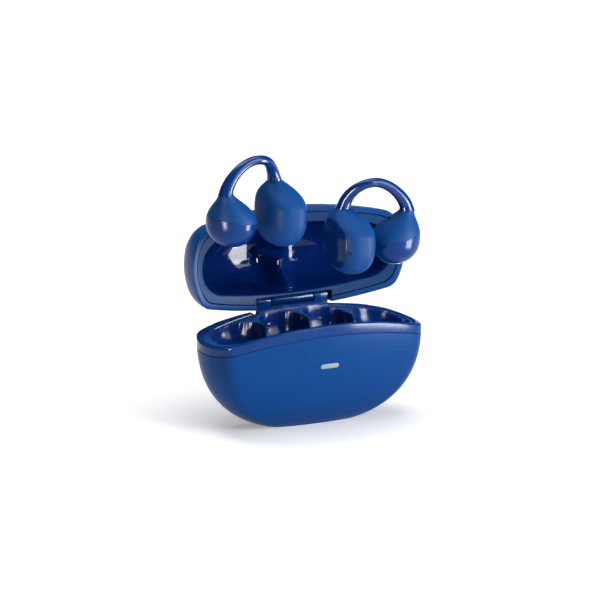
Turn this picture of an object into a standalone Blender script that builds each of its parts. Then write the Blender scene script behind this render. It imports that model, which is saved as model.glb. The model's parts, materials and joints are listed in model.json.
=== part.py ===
"""Clip-on open earbuds and their charging case, lid open, both earbuds lifted out of the tray.

Metres, +Z up, +X along the case, -Y to the front. The origin is the middle of the foot.
"""

import math

import bmesh
import bpy
from mathutils import Matrix, Vector

# Plan of the case at the rim: four corners, bowed sides and bowed ends
RIM_CORNER_X = 0.0310
RIM_CORNER_Y = 0.01109
SIDE_BOW = 0.00367
END_BOW = 0.00336
CORNER_CUT = 0.0030
CORNER_SOFTENING = 0.0040
PLAN_STEPS = 3

# Upright shape of the case: the rim arches down towards both ends
RIM_HEIGHT = 0.0320
RIM_ARCH = 0.00417
BODY_DEPTH = 0.03333
BODY_POWER_X = 2.45
BODY_POWER_Y = 2.0
FOOT_SHARE = 0.96
BODY_WALL = 0.0016
BODY_SHARES = (0.20, 0.33, 0.47, 0.61, 0.75, 0.86, 0.92)
BAND_SHARE = 0.095
BAND_WALL = 0.0015
BAND_CHAMFER = 0.0003
BACK_RELIEF = 0.0007
BACK_RELIEF_REACH = 0.024
SEAM = 0.00015

# Lid, drawn closed and turned open about the hinge
LID_CROWN = 0.0205
LID_POWER_X = 2.7
LID_POWER_Y = 2.2
LID_WALL = 0.0014
LID_SHARES = (0.20, 0.42, 0.62, 0.79, 0.90, 0.96)
LID_TOP_SHARE = 0.99
LID_OPEN = math.radians(95.2)
LINER_GAP = 0.00025
LINER_WALL = 0.0009
LINER_STEP = 0.0002
LINER_FLANGE = 0.0010
RECESS_INSET = 0.0036
RECESS_BOW = 0.00267
RECESS_CUT = 0.0024

# Tray: a basin just inside the band, with a well below its floor for each pod
TRAY_GAP = 0.00025
TRAY_DROP = 0.0006
BASIN_FLOOR = RIM_HEIGHT - 0.0072
BASIN_INSET_X = 0.0030
BASIN_INSET_Y = 0.0023
BASIN_CUT = 0.0020
BASIN_TAPER = 0.0008
SCREEN_HALF_WIDTH = 0.0121
SCREEN_FRONT = 0.0102
SCREEN_BACK = 0.0121
SCREEN_TOP = RIM_HEIGHT - 0.0010
TRAY_WALL = 0.0010
TRAY_SKIRT_INSET = 0.0025
WELL_CLEARANCE = 0.0005

# Hinge along X at the back of the case
HINGE_Y = 0.01207
HINGE_Z = 0.0340
HINGE_PIN_RADIUS = 0.0005
HINGE_BORE_RADIUS = 0.0007
KNUCKLE_RADIUS = 0.00125
ARM_HALF_WIDTH = 0.0067
BRACKET_INNER = 0.0071
BRACKET_OUTER = 0.0114
BRACKET_FRONT = 0.0111
BRACKET_BACK = 0.0122
BRACKET_FOOT = 0.0266
BRACKET_TOP = 0.0315
ARM_THICKNESS = 0.0008
ARM_LENGTH = 0.0052
ARM_LEAN = math.radians(12)
NOTCH_HALF_WIDTH = 0.0123
LID_NOTCH_Y = 0.0107
LID_NOTCH_TOP = 0.0360
CASE_NOTCH_FOOT = 0.0298

# Status light on the front, and the charging socket at the back
LED_LENGTH = 0.00585
LED_HEIGHT = 0.00145
LED_Z = 0.0195
LED_Y = -0.01369
LED_TILT = math.radians(10.2)
LED_DEPTH = 0.0018
TRIM_GAP = 0.00015
SOCKET_Z = 0.0140
SOCKET_BACK = 0.0122
SOCKET_DEPTH = 0.0068
SOCKET_LENGTH = 0.00894
SOCKET_HEIGHT = 0.00316
SOCKET_SKIN = 0.0003
SOCKET_POCKET = 0.0056
TONGUE_SIZE = (0.0067, 0.0048, 0.0007)

# Inner pieces of the case
BATTERY_SIZE = (0.0280, 0.0096, 0.0050)
BATTERY_AT = (0.0, -0.0006, 0.0081)
BOARD_SIZE = (0.0400, 0.0130, 0.0010)
BOARD_AT = (0.0, 0.0, 0.0115)
CLOSURE_MAGNET_SIZE = (0.0060, 0.0009, 0.0026)
CASE_MAGNET_AT = (0.0, -0.01165, 0.0222)
LID_MAGNET_AT = (0.0, -0.01190, 0.0378)
WELL_MAGNET_RADIUS = 0.0025
WELL_MAGNET_HEIGHT = 0.0015
WELL_MAGNET_GAP = 0.0004

# Earbuds, drawn round the middle of the battery pod, +X towards the speaker pod
LEFT_AT = Vector((-0.03005, -0.01006, 0.06529))
RIGHT_AT = Vector((0.0200, -0.0156, 0.0560))
DOCK = Vector((0.0224, 0.0010, RIM_HEIGHT - 0.0030))
RING_SIDES = 20
POD_WALL = 0.0011
PIECE_GAP = 0.00025

# Battery pod: a ball drawn up into a leaning neck
BALL_RADIUS = 0.00745
BALL_NECK_HEIGHT = 0.0088
BALL_NECK_RADIUS = 0.0023
BALL_NECK_SHIFT = (-0.0033, -0.00225)
BALL_NECK_POWER = 1.75
CAP_SEAM_Z = 0.0009
CAP_SEAM_SLOPE = -0.206
CELL_RADIUS = 0.0042
CELL_HEIGHT = 0.0048
CELL_Z = -0.0008
CONTACT_RADIUS = 0.0008
CONTACT_Y = 0.0018
CONTACT_TOP = -0.0060
CONTACT_FOOT = -0.00705
VENT_SIZE = (0.0006, 0.0026, 0.0007)
VENT_TURN = math.radians(20)
VENT_HEIGHT = 0.0062

# Speaker pod: a rounded pebble with a neck at its back
PEBBLE_AT = Vector((0.01533, -0.00108, 0.0012))
PEBBLE_HALF_X = 0.0062
PEBBLE_HALF_Y = 0.0095
PEBBLE_HALF_Z = 0.0095
PEBBLE_PLAN_POWER = 3.0
PEBBLE_FOOT_POWER = 2.4
PEBBLE_NECK_HEIGHT = 0.0090
PEBBLE_NECK_RADIUS = 0.0022
PEBBLE_NECK_SHIFT = 0.0040
COVER_SEAM_X = -0.00134
FACEPLATE_X = 0.0046
DRIVER_RADIUS = 0.0055
DRIVER_X = (-0.0039, -0.0009)
BUD_BOARD_RADIUS = 0.0060
BUD_BOARD_X = (0.0014, 0.0022)
MIC_AT = (0.0038, -0.0080, -0.0015)
MIC_AIM = (0.50, -0.85, -0.10)
MIC_RADIUS = 0.00045
MIC_LENGTH = 0.0009

# Bridge between the two necks: two smooth stretches that meet at the top of the arch
BRIDGE_START = Vector((-0.00357, -0.00225, 0.00605))
BRIDGE_RISE = Vector((0.00038, -0.00006, 0.00687))
BRIDGE_TOP = Vector((0.00768, -0.00142, 0.01789))
BRIDGE_INTO_TOP = 0.00463
BRIDGE_FROM_TOP = 0.00415
BRIDGE_END = Vector((0.01535, 0.0028, 0.00974))
BRIDGE_FALL = Vector((-0.00092, 0.00018, 0.00489))
BRIDGE_RADII = (0.00232, 0.00136, 0.00216)
SLEEVE_SPAN = (0.15, 0.93)
SLEEVE_BORE = 0.0008
SLEEVE_RINGS = 13
SLEEVE_SIDES = 10
WIRE_SPAN = (0.02, 0.995)
WIRE_RADIUS = 0.0004

# Charging pins in the floors of the two battery pod wells
PIN_RADIUS = 0.00055
PIN_LENGTH = 0.0026
PIN_SHORT_OF_CONTACT = 0.00025
PIN_HOLE_RADIUS = 0.0008

SIDES = {"left": (1, LEFT_AT), "right": (-1, RIGHT_AT)}


def clear_scene():
    for item in list(bpy.data.objects):
        bpy.data.objects.remove(item, do_unlink=True)


def new_collection(name):
    made = bpy.data.collections.new(name)
    bpy.context.scene.collection.children.link(made)
    return made


def plastic(name, colour, roughness, metallic=0.0):
    made = bpy.data.materials.new(name)
    made.use_nodes = True
    shader = made.node_tree.nodes["Principled BSDF"]
    shader.inputs["Base Color"].default_value = (*colour, 1.0)
    shader.inputs["Roughness"].default_value = roughness
    shader.inputs["Metallic"].default_value = metallic
    return made


def add_object(name, bm, parent=None, offset=(0, 0, 0)):
    """The finished mesh as a named part, smooth except at its edges."""
    bmesh.ops.recalc_face_normals(bm, faces=bm.faces)
    mesh = bpy.data.meshes.new(name)
    bm.to_mesh(mesh)
    bm.free()
    mesh.shade_smooth()
    mesh.set_sharp_from_angle(angle=math.radians(35))
    made = bpy.data.objects.new(name, mesh)
    PARTS.objects.link(made)
    made.parent = parent
    made.location = offset
    return made


def as_cutter(made):
    PARTS.objects.unlink(made)
    CUTTERS.objects.link(made)
    made.hide_render = True
    made.display_type = "WIRE"
    return made


def boolean(target, other, operation="DIFFERENCE"):
    made = target.modifiers.new(other.name, "BOOLEAN")
    made.operation = operation
    made.object = other


def add_empty(name, place, parent=None):
    made = bpy.data.objects.new(name, None)
    made.empty_display_size = 0.005
    made.location = place
    made.parent = parent
    PARTS.objects.link(made)
    return made


def loft(rings, ring_closed=False):
    """Quads between rings of equal count. The end rings are capped, or joined where ring_closed."""
    bm = bmesh.new()
    rows = [[bm.verts.new(point) for point in ring] for ring in rings]
    pairs = list(zip(rows, rows[1:]))
    if ring_closed:
        pairs.append((rows[-1], rows[0]))
    for first, second in pairs:
        for here in range(len(first)):
            there = (here + 1) % len(first)
            bm.faces.new((first[here], first[there], second[there], second[here]))
    if not ring_closed:
        bm.faces.new(rows[0])
        bm.faces.new(rows[-1])
    return bm


def block(size, at=(0, 0, 0), turn=None):
    bm = bmesh.new()
    place = Matrix.Translation(at)
    if turn:
        place = place @ turn
    bmesh.ops.create_cube(bm, size=1.0, matrix=place @ Matrix.Diagonal((*size, 1.0)))
    return bm


def rod(radius, length, at, axis, sides=16):
    """A cylinder centred at a point, along an axis."""
    turn = Vector((0, 0, 1)).rotation_difference(Vector(axis)).to_matrix().to_4x4()
    bm = bmesh.new()
    bmesh.ops.create_cone(
        bm,
        cap_ends=True,
        segments=sides,
        radius1=radius,
        radius2=radius,
        depth=length,
        matrix=Matrix.Translation(at) @ turn,
    )
    return bm


def pill(length, height, depth, at, tilt=0.0, steps=6):
    """A flat bar with round ends, long in X, its depth along Y, tilted about X."""
    radius = height / 2
    reach = length / 2 - radius
    outline = []
    for side, start in ((1, -0.5), (-1, 0.5)):
        for step in range(steps + 1):
            turn = math.pi * (start + step / steps)
            outline.append((side * reach + radius * math.cos(turn), radius * math.sin(turn)))
    place = Matrix.Translation(at) @ Matrix.Rotation(tilt, 4, "X")
    rings = []
    for y in (-depth / 2, depth / 2):
        rings.append([place @ Vector((x, y, z)) for x, z in outline])
    return loft(rings)


def spread(low, high, count):
    return [low + (high - low) * step / (count - 1) for step in range(count)]


def plan_loop(inset_x, inset_y, cut, bow=SIDE_BOW):
    """The rim seen from above, drawn in by the insets, its corners rounded over a length of cut."""
    corner_x = RIM_CORNER_X - inset_x
    corner_y = RIM_CORNER_Y - inset_y

    def end_x(y):
        return corner_x + END_BOW * (1 - (y / corner_y) ** 2)

    def side_y(x):
        return corner_y + bow * (1 - (x / corner_x) ** 2)

    quarter = [(end_x(y), y) for y in spread(0, corner_y - cut, PLAN_STEPS)]
    first = Vector(quarter[-1])
    last = Vector((corner_x - cut, side_y(corner_x - cut)))
    corner = Vector((corner_x, corner_y))
    for share in (1 / 3, 2 / 3):
        point = first.lerp(corner, share).lerp(corner.lerp(last, share), share)
        quarter.append((point.x, point.y))
    quarter += [(x, side_y(x)) for x in spread(corner_x - cut, 0, PLAN_STEPS + 1)]
    back = quarter + [(-x, y) for x, y in reversed(quarter[:-1])]
    return back + [(-x, -y) for x, y in back[1:-1]]


def arch(x):
    return RIM_ARCH * (x / RIM_CORNER_X) ** 2


def rim_ring(inset_x, inset_y, lift, cut, bow=SIDE_BOW):
    """A ring that follows the arched rim, lifted above it."""
    loop = plan_loop(inset_x, inset_y, cut, bow)
    return [Vector((x, y, RIM_HEIGHT + lift - arch(x))) for x, y in loop]


def level_ring(inset_x, inset_y, z, cut):
    return [Vector((x, y, z)) for x, y in plan_loop(inset_x, inset_y, cut)]


def dome_ring(share, inset, height, power_x, power_y, cut=CORNER_CUT, bow=SIDE_BOW):
    """The rim drawn in as the surface runs down (height below 0) or up to its crown."""
    loop = plan_loop(inset, inset, cut + CORNER_SOFTENING * share, bow)
    narrow_x = (1 - share**power_x) ** (1 / power_x)
    narrow_y = (1 - share**power_y) ** (1 / power_y)
    ring = []
    for x, y in loop:
        z = RIM_HEIGHT + height * share - arch(x) * (1 - share)
        ring.append(Vector((x * narrow_x, y * narrow_y, z)))
    return ring


def body_ring(share, inset=0.0):
    return dome_ring(share, inset, inset - BODY_DEPTH, BODY_POWER_X, BODY_POWER_Y)


def lid_ring(share, inset, drop, cut=CORNER_CUT, bow=SIDE_BOW):
    return dome_ring(share, inset, LID_CROWN - drop, LID_POWER_X, LID_POWER_Y, cut, bow)


def lifted(ring, height):
    return [point + Vector((0, 0, height)) for point in ring]


def make_lower_shell():
    top = BAND_SHARE + 2 * SEAM / BODY_DEPTH
    shares = (top,) + BODY_SHARES
    inside = [body_ring(share, BODY_WALL) for share in reversed(shares)]
    outside = [body_ring(share) for share in shares + (FOOT_SHARE,)]
    foot = [Vector((point.x, point.y, 0.0)) for point in outside[-1]]
    shell = add_object("case_lower_shell", loft(inside + outside[:-1] + [foot]))
    light = pill(LED_LENGTH + 2 * TRIM_GAP, LED_HEIGHT + 2 * TRIM_GAP, 0.008, (0, LED_Y, LED_Z), LED_TILT)
    boolean(shell, as_cutter(add_object("light_window", light)))
    port = pill(
        SOCKET_LENGTH + 2 * PIECE_GAP, SOCKET_HEIGHT + 2 * PIECE_GAP, 0.008, (0, SOCKET_BACK, SOCKET_Z)
    )
    boolean(shell, as_cutter(add_object("port_window", port)))
    return shell


def relieved(ring):
    """The back of a rim dips near the hinge, so that the lid's rear edge can swing through."""
    made = []
    for point in ring:
        share = max(1 - (point.x / BACK_RELIEF_REACH) ** 2, 0.0) if point.y > 0 else 0.0
        made.append(point - Vector((0, 0, BACK_RELIEF * share)))
    return made


def make_rim_band(notch):
    top = relieved(lifted(body_ring(0.0), -SEAM))
    shoulder = lifted(top, -BAND_CHAMFER)
    edge = relieved(lifted(body_ring(0.0, BAND_CHAMFER), -SEAM))
    inner_top = relieved(lifted(body_ring(0.0, BAND_WALL), -SEAM))
    inner_foot = body_ring(BAND_SHARE, BAND_WALL)
    rings = [body_ring(BAND_SHARE), body_ring(BAND_SHARE / 2), shoulder, edge, inner_top, inner_foot]
    band = add_object("rim_band", loft(rings, ring_closed=True))
    boolean(band, notch)
    return band


def well_rings(side, grow, top):
    """Round sections of a battery pod well and oval ones of a speaker pod well, from the top down."""
    ball = []
    reach = BALL_RADIUS + grow
    middle = Vector((side * DOCK.x, DOCK.y, DOCK.z))
    start = BASIN_FLOOR - middle.z
    for height in [top - middle.z] + spread(start, -0.985 * reach, 5):
        radius = math.sqrt(reach**2 - max(min(height, start), -reach) ** 2)
        ball.append(circle(middle.x, middle.y, middle.z + height, radius))
    oval = []
    middle = middle + Vector((-side * PEBBLE_AT.x, PEBBLE_AT.y, PEBBLE_AT.z))
    start = BASIN_FLOOR - middle.z
    deep = PEBBLE_HALF_Z + grow
    for height in [top - middle.z] + spread(start, -0.985 * deep, 5):
        share = -min(height, start) / deep
        narrow = (1 - share**PEBBLE_FOOT_POWER) ** (1 / PEBBLE_FOOT_POWER)
        half_x = (PEBBLE_HALF_X + grow) * narrow
        half_y = (PEBBLE_HALF_Y + grow) * narrow
        section = superellipse(half_x, half_y, PEBBLE_PLAN_POWER)
        oval.append([Vector((middle.x + x, middle.y + y, middle.z + height)) for x, y in section])
    return {"battery": ball, "speaker": oval}


def circle(x, y, z, radius, sides=RING_SIDES):
    ring = []
    for step in range(sides):
        turn = 2 * math.pi * step / sides
        ring.append(Vector((x + radius * math.cos(turn), y + radius * math.sin(turn), z)))
    return ring


def superellipse(half_x, half_y, power, sides=RING_SIDES):
    """A rounded oval; a power of 2 is an ellipse, and more is squarer."""
    outline = []
    for step in range(sides):
        turn = 2 * math.pi * step / sides
        c = math.cos(turn)
        s = math.sin(turn)
        size = (abs(c) ** power + abs(s) ** power) ** (-1 / power)
        outline.append((half_x * c * size, half_y * s * size))
    return outline


def pin_places():
    """Each charging pin's name and the middle of its top face."""
    for name, (sign, _) in SIDES.items():
        for end, y in (("front", -CONTACT_Y), ("rear", CONTACT_Y)):
            top = DOCK.z + CONTACT_FOOT - PIN_SHORT_OF_CONTACT
            yield f"{name}_charging_pin_{end}", Vector((-sign * DOCK.x, DOCK.y + y, top))


def make_tray(notch):
    band_inside = BAND_WALL + TRAY_GAP
    floor_x = BASIN_INSET_X + BASIN_TAPER
    floor_y = BASIN_INSET_Y + BASIN_TAPER
    rings = [
        level_ring(floor_x, floor_y, BASIN_FLOOR, BASIN_CUT),
        rim_ring(BASIN_INSET_X, BASIN_INSET_Y, -TRAY_DROP, BASIN_CUT),
        rim_ring(band_inside, band_inside, -TRAY_DROP, CORNER_CUT),
        rim_ring(band_inside, band_inside, -2 * TRAY_DROP, CORNER_CUT),
        level_ring(TRAY_SKIRT_INSET, TRAY_SKIRT_INSET, BASIN_FLOOR - TRAY_WALL, CORNER_CUT),
    ]
    tray = add_object("cradle_tray", loft(rings))
    screen_foot = BASIN_FLOOR - TRAY_WALL / 4
    size = (2 * SCREEN_HALF_WIDTH, SCREEN_BACK - SCREEN_FRONT, SCREEN_TOP - screen_foot)
    middle = (0, (SCREEN_BACK + SCREEN_FRONT) / 2, (SCREEN_TOP + screen_foot) / 2)
    boolean(tray, as_cutter(add_object("hinge_screen", block(size, middle))), "UNION")
    for operation, grow, top in (
        ("UNION", WELL_CLEARANCE + TRAY_WALL, BASIN_FLOOR - TRAY_WALL / 2),
        ("DIFFERENCE", WELL_CLEARANCE, RIM_HEIGHT),
    ):
        for name, (sign, _) in SIDES.items():
            for pod, ring in well_rings(-sign, grow, top).items():
                shape = as_cutter(add_object(f"{name}_{pod}_well_{operation.lower()}", loft(ring)))
                boolean(tray, shape, operation)
    for name, top in pin_places():
        hole = rod(PIN_HOLE_RADIUS, 0.008, top, (0, 0, 1))
        boolean(tray, as_cutter(add_object(name + "_hole", hole)))
    boolean(tray, notch)
    return tray


def make_charging_pins():
    for name, top in pin_places():
        foot = Vector((0, 0, -PIN_LENGTH / 2))
        axis = add_empty(name + "_axis", top)
        pin = add_object(name, rod(PIN_RADIUS, PIN_LENGTH, foot, (0, 0, 1), 12), axis)
        pin.data.materials.append(GOLD)


def make_case_inside():
    lens = add_object("status_light_lens", pill(LED_LENGTH, LED_HEIGHT, LED_DEPTH, LED_MIDDLE, LED_TILT))
    lens.data.materials.append(LENS)
    middle = (0, SOCKET_BACK - SOCKET_DEPTH / 2, SOCKET_Z)
    socket = add_object("usb_c_socket", pill(SOCKET_LENGTH, SOCKET_HEIGHT, SOCKET_DEPTH, middle))
    mouth = (0, SOCKET_BACK, SOCKET_Z)
    hollow = pill(SOCKET_LENGTH - 2 * SOCKET_SKIN, SOCKET_HEIGHT - 2 * SOCKET_SKIN, 2 * SOCKET_POCKET, mouth)
    boolean(socket, as_cutter(add_object("socket_hollow", hollow)))
    tongue_at = (0, SOCKET_BACK - SOCKET_POCKET + 0.4 * TONGUE_SIZE[1], SOCKET_Z)
    tongue = as_cutter(add_object("socket_tongue", block(TONGUE_SIZE, tongue_at)))
    boolean(socket, tongue, "UNION")
    socket.data.materials.append(STEEL)
    for name, size, at, finish in (
        ("case_battery", BATTERY_SIZE, BATTERY_AT, FOIL),
        ("case_main_board", BOARD_SIZE, BOARD_AT, GREEN),
        ("case_closure_magnet", CLOSURE_MAGNET_SIZE, CASE_MAGNET_AT, STEEL),
    ):
        made = add_object(name, block(size, at))
        made.data.materials.append(finish)
    drop = PEBBLE_HALF_Z + WELL_CLEARANCE + TRAY_WALL + WELL_MAGNET_GAP + WELL_MAGNET_HEIGHT / 2
    for name, (sign, _) in SIDES.items():
        at = (sign * (PEBBLE_AT.x - DOCK.x), DOCK.y + PEBBLE_AT.y, DOCK.z + PEBBLE_AT.z - drop)
        disc = rod(WELL_MAGNET_RADIUS, WELL_MAGNET_HEIGHT, at, (0, 0, 1))
        magnet = add_object(name + "_holding_magnet", disc)
        magnet.data.materials.append(STEEL)


def make_hinge():
    """Bracket with two outer knuckles on the case, and the pin through all three knuckles."""
    depth = BRACKET_BACK - BRACKET_FRONT
    middle_y = (BRACKET_FRONT + BRACKET_BACK) / 2
    size = (2 * BRACKET_OUTER, depth, BRACKET_TOP - BRACKET_FOOT)
    bracket = add_object("hinge_bracket", block(size, (0, middle_y, (BRACKET_TOP + BRACKET_FOOT) / 2)))
    width = BRACKET_OUTER - BRACKET_INNER
    middle_x = (BRACKET_OUTER + BRACKET_INNER) / 2
    for sign, name in ((-1, "left"), (1, "right")):
        foot = BRACKET_TOP - 0.001
        web = block((width, depth, HINGE_Z - foot), (sign * middle_x, middle_y, (HINGE_Z + foot) / 2))
        boolean(bracket, as_cutter(add_object(name + "_web", web)), "UNION")
        knuckle = rod(KNUCKLE_RADIUS, width, (sign * middle_x, HINGE_Y, HINGE_Z), (1, 0, 0))
        boolean(bracket, as_cutter(add_object(name + "_knuckle", knuckle)), "UNION")
    bore = rod(HINGE_BORE_RADIUS, 0.05, (0, HINGE_Y, HINGE_Z), (1, 0, 0), 12)
    bore_cutter = as_cutter(add_object("hinge_bore", bore))
    boolean(bracket, bore_cutter)
    bracket.data.materials.append(INNER_BLUE)
    pin = add_object(
        "hinge_pin", rod(HINGE_PIN_RADIUS, 2 * BRACKET_OUTER, (0, HINGE_Y, HINGE_Z), (1, 0, 0), 12)
    )
    pin.data.materials.append(STEEL)


def make_lid(axis):
    """Lid pieces, drawn closed in the case's own frame and carried open by the hinge axis."""
    home = (0, -HINGE_Y, -HINGE_Z)
    notch_size = (2 * NOTCH_HALF_WIDTH, 0.02, 0.03)
    notch_at = (0, LID_NOTCH_Y + 0.01, LID_NOTCH_TOP - 0.015)
    notch = as_cutter(add_object("lid_notch", block(notch_size, notch_at), axis, home))

    inside = [lid_ring(share, LID_WALL, LID_WALL) for share in reversed(LID_SHARES)]
    rim = [lifted(lid_ring(0.0, inset, 0.0), SEAM) for inset in (LID_WALL, BAND_CHAMFER)]
    shoulder = lifted(lid_ring(0.0, 0.0, 0.0), SEAM + BAND_CHAMFER)
    outside = [lid_ring(share, 0.0, 0.0) for share in LID_SHARES + (LID_TOP_SHARE,)]
    shell = add_object("lid_outer_shell", loft(inside + rim + [shoulder] + outside), axis, home)
    boolean(shell, notch)
    shell.data.materials.append(CASE_BLUE)

    recess_drop = LID_WALL + LINER_GAP + LINER_WALL
    back_drop = LID_WALL + LINER_GAP
    back_inset = RECESS_INSET - LINER_WALL
    recess = [lid_ring(s, RECESS_INSET, recess_drop, RECESS_CUT, RECESS_BOW) for s in reversed(LID_SHARES)]
    flange_out = LID_WALL + LINER_GAP
    low = SEAM + LINER_STEP
    high = low + LINER_FLANGE
    flange = [
        rim_ring(RECESS_INSET, RECESS_INSET, low, RECESS_CUT, RECESS_BOW),
        rim_ring(flange_out, flange_out, low, CORNER_CUT),
        rim_ring(flange_out + LINER_STEP, flange_out + LINER_STEP, high, CORNER_CUT),
        rim_ring(back_inset, back_inset, high, RECESS_CUT, RECESS_BOW),
    ]
    back = [lid_ring(share, back_inset, back_drop, RECESS_CUT, RECESS_BOW) for share in LID_SHARES]
    liner = add_object("lid_liner", loft(recess + flange + back), axis, home)
    boolean(liner, notch)
    liner.data.materials.append(INNER_BLUE)

    knuckle = rod(KNUCKLE_RADIUS, 2 * ARM_HALF_WIDTH, (0, HINGE_Y, HINGE_Z), (1, 0, 0))
    arm = add_object("lid_hinge_arm", knuckle, axis, home)
    lean = Matrix.Rotation(ARM_LEAN, 4, "X")
    pivot = Matrix.Translation((0, HINGE_Y, HINGE_Z))
    size = (2 * ARM_HALF_WIDTH, ARM_THICKNESS, ARM_LENGTH)
    plate = block(size, (0, 0, 0), pivot @ lean @ Matrix.Translation((0, 0, ARM_LENGTH / 2)))
    boolean(arm, as_cutter(add_object("arm_plate", plate, axis, home)), "UNION")
    boolean(arm, bpy.data.objects["hinge_bore"])
    arm.data.materials.append(INNER_BLUE)

    magnet = add_object("lid_closure_magnet", block(CLOSURE_MAGNET_SIZE, LID_MAGNET_AT), axis, home)
    magnet.data.materials.append(STEEL)


def ball_ring(height, grow):
    """One level section of the upper battery pod, from its widest line up into the leaning neck."""
    share = min(height / BALL_NECK_HEIGHT, 1.0)
    radius = BALL_NECK_RADIUS + (BALL_RADIUS - BALL_NECK_RADIUS) * (1 - share**BALL_NECK_POWER)
    lean = ((height + 0.0005) / (BALL_NECK_HEIGHT + 0.0005)) ** 1.7
    return circle(BALL_NECK_SHIFT[0] * lean, BALL_NECK_SHIFT[1] * lean, height, radius + grow)


def ball_rings(grow):
    reach = BALL_RADIUS + grow
    rings = []
    for turn in spread(math.radians(-80), 0, 6)[:-1]:
        rings.append(circle(0, 0, reach * math.sin(turn), reach * math.cos(turn)))
    for height in spread(0, BALL_NECK_HEIGHT, 7):
        rings.append(ball_ring(height, grow))
    if grow < 0:
        rings.append(lifted(rings[-1], POD_WALL))
    return rings


def pebble_ring(height, grow):
    """One level section of the speaker pod, from its oval foot up into the neck at its back."""
    power = PEBBLE_PLAN_POWER
    shift = 0.0
    if height < 0:
        share = min(-height / (PEBBLE_HALF_Z + grow), 1.0)
        narrow = (1 - share**PEBBLE_FOOT_POWER) ** (1 / PEBBLE_FOOT_POWER)
        half_x = (PEBBLE_HALF_X + grow) * narrow
        half_y = (PEBBLE_HALF_Y + grow) * narrow
    else:
        share = min(height / PEBBLE_NECK_HEIGHT, 1.0)
        wide = 1 - share**4
        half_x = PEBBLE_NECK_RADIUS + grow + (PEBBLE_HALF_X - PEBBLE_NECK_RADIUS) * wide
        half_y = PEBBLE_NECK_RADIUS + grow + (PEBBLE_HALF_Y - PEBBLE_NECK_RADIUS) * wide
        power = 2 + (PEBBLE_PLAN_POWER - 2) * wide
        shift = PEBBLE_NECK_SHIFT * (max(height - 0.0025, 0.0) / (PEBBLE_NECK_HEIGHT - 0.0025)) ** 1.8
    section = superellipse(half_x, half_y, power)
    return [PEBBLE_AT + Vector((x, y + shift, height)) for x, y in section]


def pebble_rings(grow):
    deep = PEBBLE_HALF_Z + grow
    rings = [pebble_ring(-share * deep, grow) for share in (0.985, 0.92, 0.79, 0.58, 0.31)]
    for share in (0.0, 0.30, 0.52, 0.70, 0.82, 0.92, 1.0):
        rings.append(pebble_ring(share * PEBBLE_NECK_HEIGHT, grow))
    if grow < 0:
        rings.append(lifted(rings[-1], POD_WALL))
    return rings


def bridge_point(share):
    """A point on the middle line of the bridge, from the battery pod (0) to the speaker pod (1)."""
    along = Vector((1, 0, 0))
    if share < 0.5:
        t = 2 * share
        a, b = BRIDGE_START, BRIDGE_START + BRIDGE_RISE
        c, d = BRIDGE_TOP - along * BRIDGE_INTO_TOP, BRIDGE_TOP
    else:
        t = 2 * share - 1
        a, b = BRIDGE_TOP, BRIDGE_TOP + along * BRIDGE_FROM_TOP
        c, d = BRIDGE_END + BRIDGE_FALL, BRIDGE_END
    s = 1 - t
    return s**3 * a + 3 * s * s * t * b + 3 * s * t * t * c + t**3 * d


def bridge_radius(share):
    start, middle, end = BRIDGE_RADII
    pull = 2 * middle - (start + end) / 2
    return start * (1 - share) ** 2 + 2 * pull * share * (1 - share) + end * share**2


def bridge_ring(share, radius, sides):
    """A ring square to the bridge's middle line."""
    step = 0.005
    along = (bridge_point(share + step) - bridge_point(share - step)).normalized()
    across = along.cross(Vector((0, 1, 0))).normalized()
    other = along.cross(across)
    ring = []
    for index in range(sides):
        turn = 2 * math.pi * index / sides
        ring.append(bridge_point(share) + radius * (math.cos(turn) * across + math.sin(turn) * other))
    return ring


def neck_ring(share, neck, radius, sides):
    """A level ring just above a pod's neck, its points in step with the bridge ring at share."""
    ring = []
    for point in bridge_ring(share, radius, sides):
        out = point - bridge_point(share)
        out.z = 0.0
        ring.append(neck + Vector((0, 0, PIECE_GAP)) + radius * out.normalized())
    return ring


def sleeve_rings(bore):
    """Rings of the sleeve from the battery pod's neck to the speaker pod's, outside or along the bore."""
    low, high = SLEEVE_SPAN
    ball_neck = Vector((*BALL_NECK_SHIFT, BALL_NECK_HEIGHT))
    pebble_neck = PEBBLE_AT + Vector((0, PEBBLE_NECK_SHIFT, PEBBLE_NECK_HEIGHT))
    rings = [neck_ring(low, ball_neck, SLEEVE_BORE if bore else BALL_NECK_RADIUS, SLEEVE_SIDES)]
    for share in spread(low, high, SLEEVE_RINGS):
        rings.append(bridge_ring(share, SLEEVE_BORE if bore else bridge_radius(share), SLEEVE_SIDES))
    rings.append(neck_ring(high, pebble_neck, SLEEVE_BORE if bore else PEBBLE_NECK_RADIUS, SLEEVE_SIDES))
    return rings


def mirrored(rings, sign):
    return [[Vector((sign * point.x, point.y, point.z)) for point in ring] for ring in rings]


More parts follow.
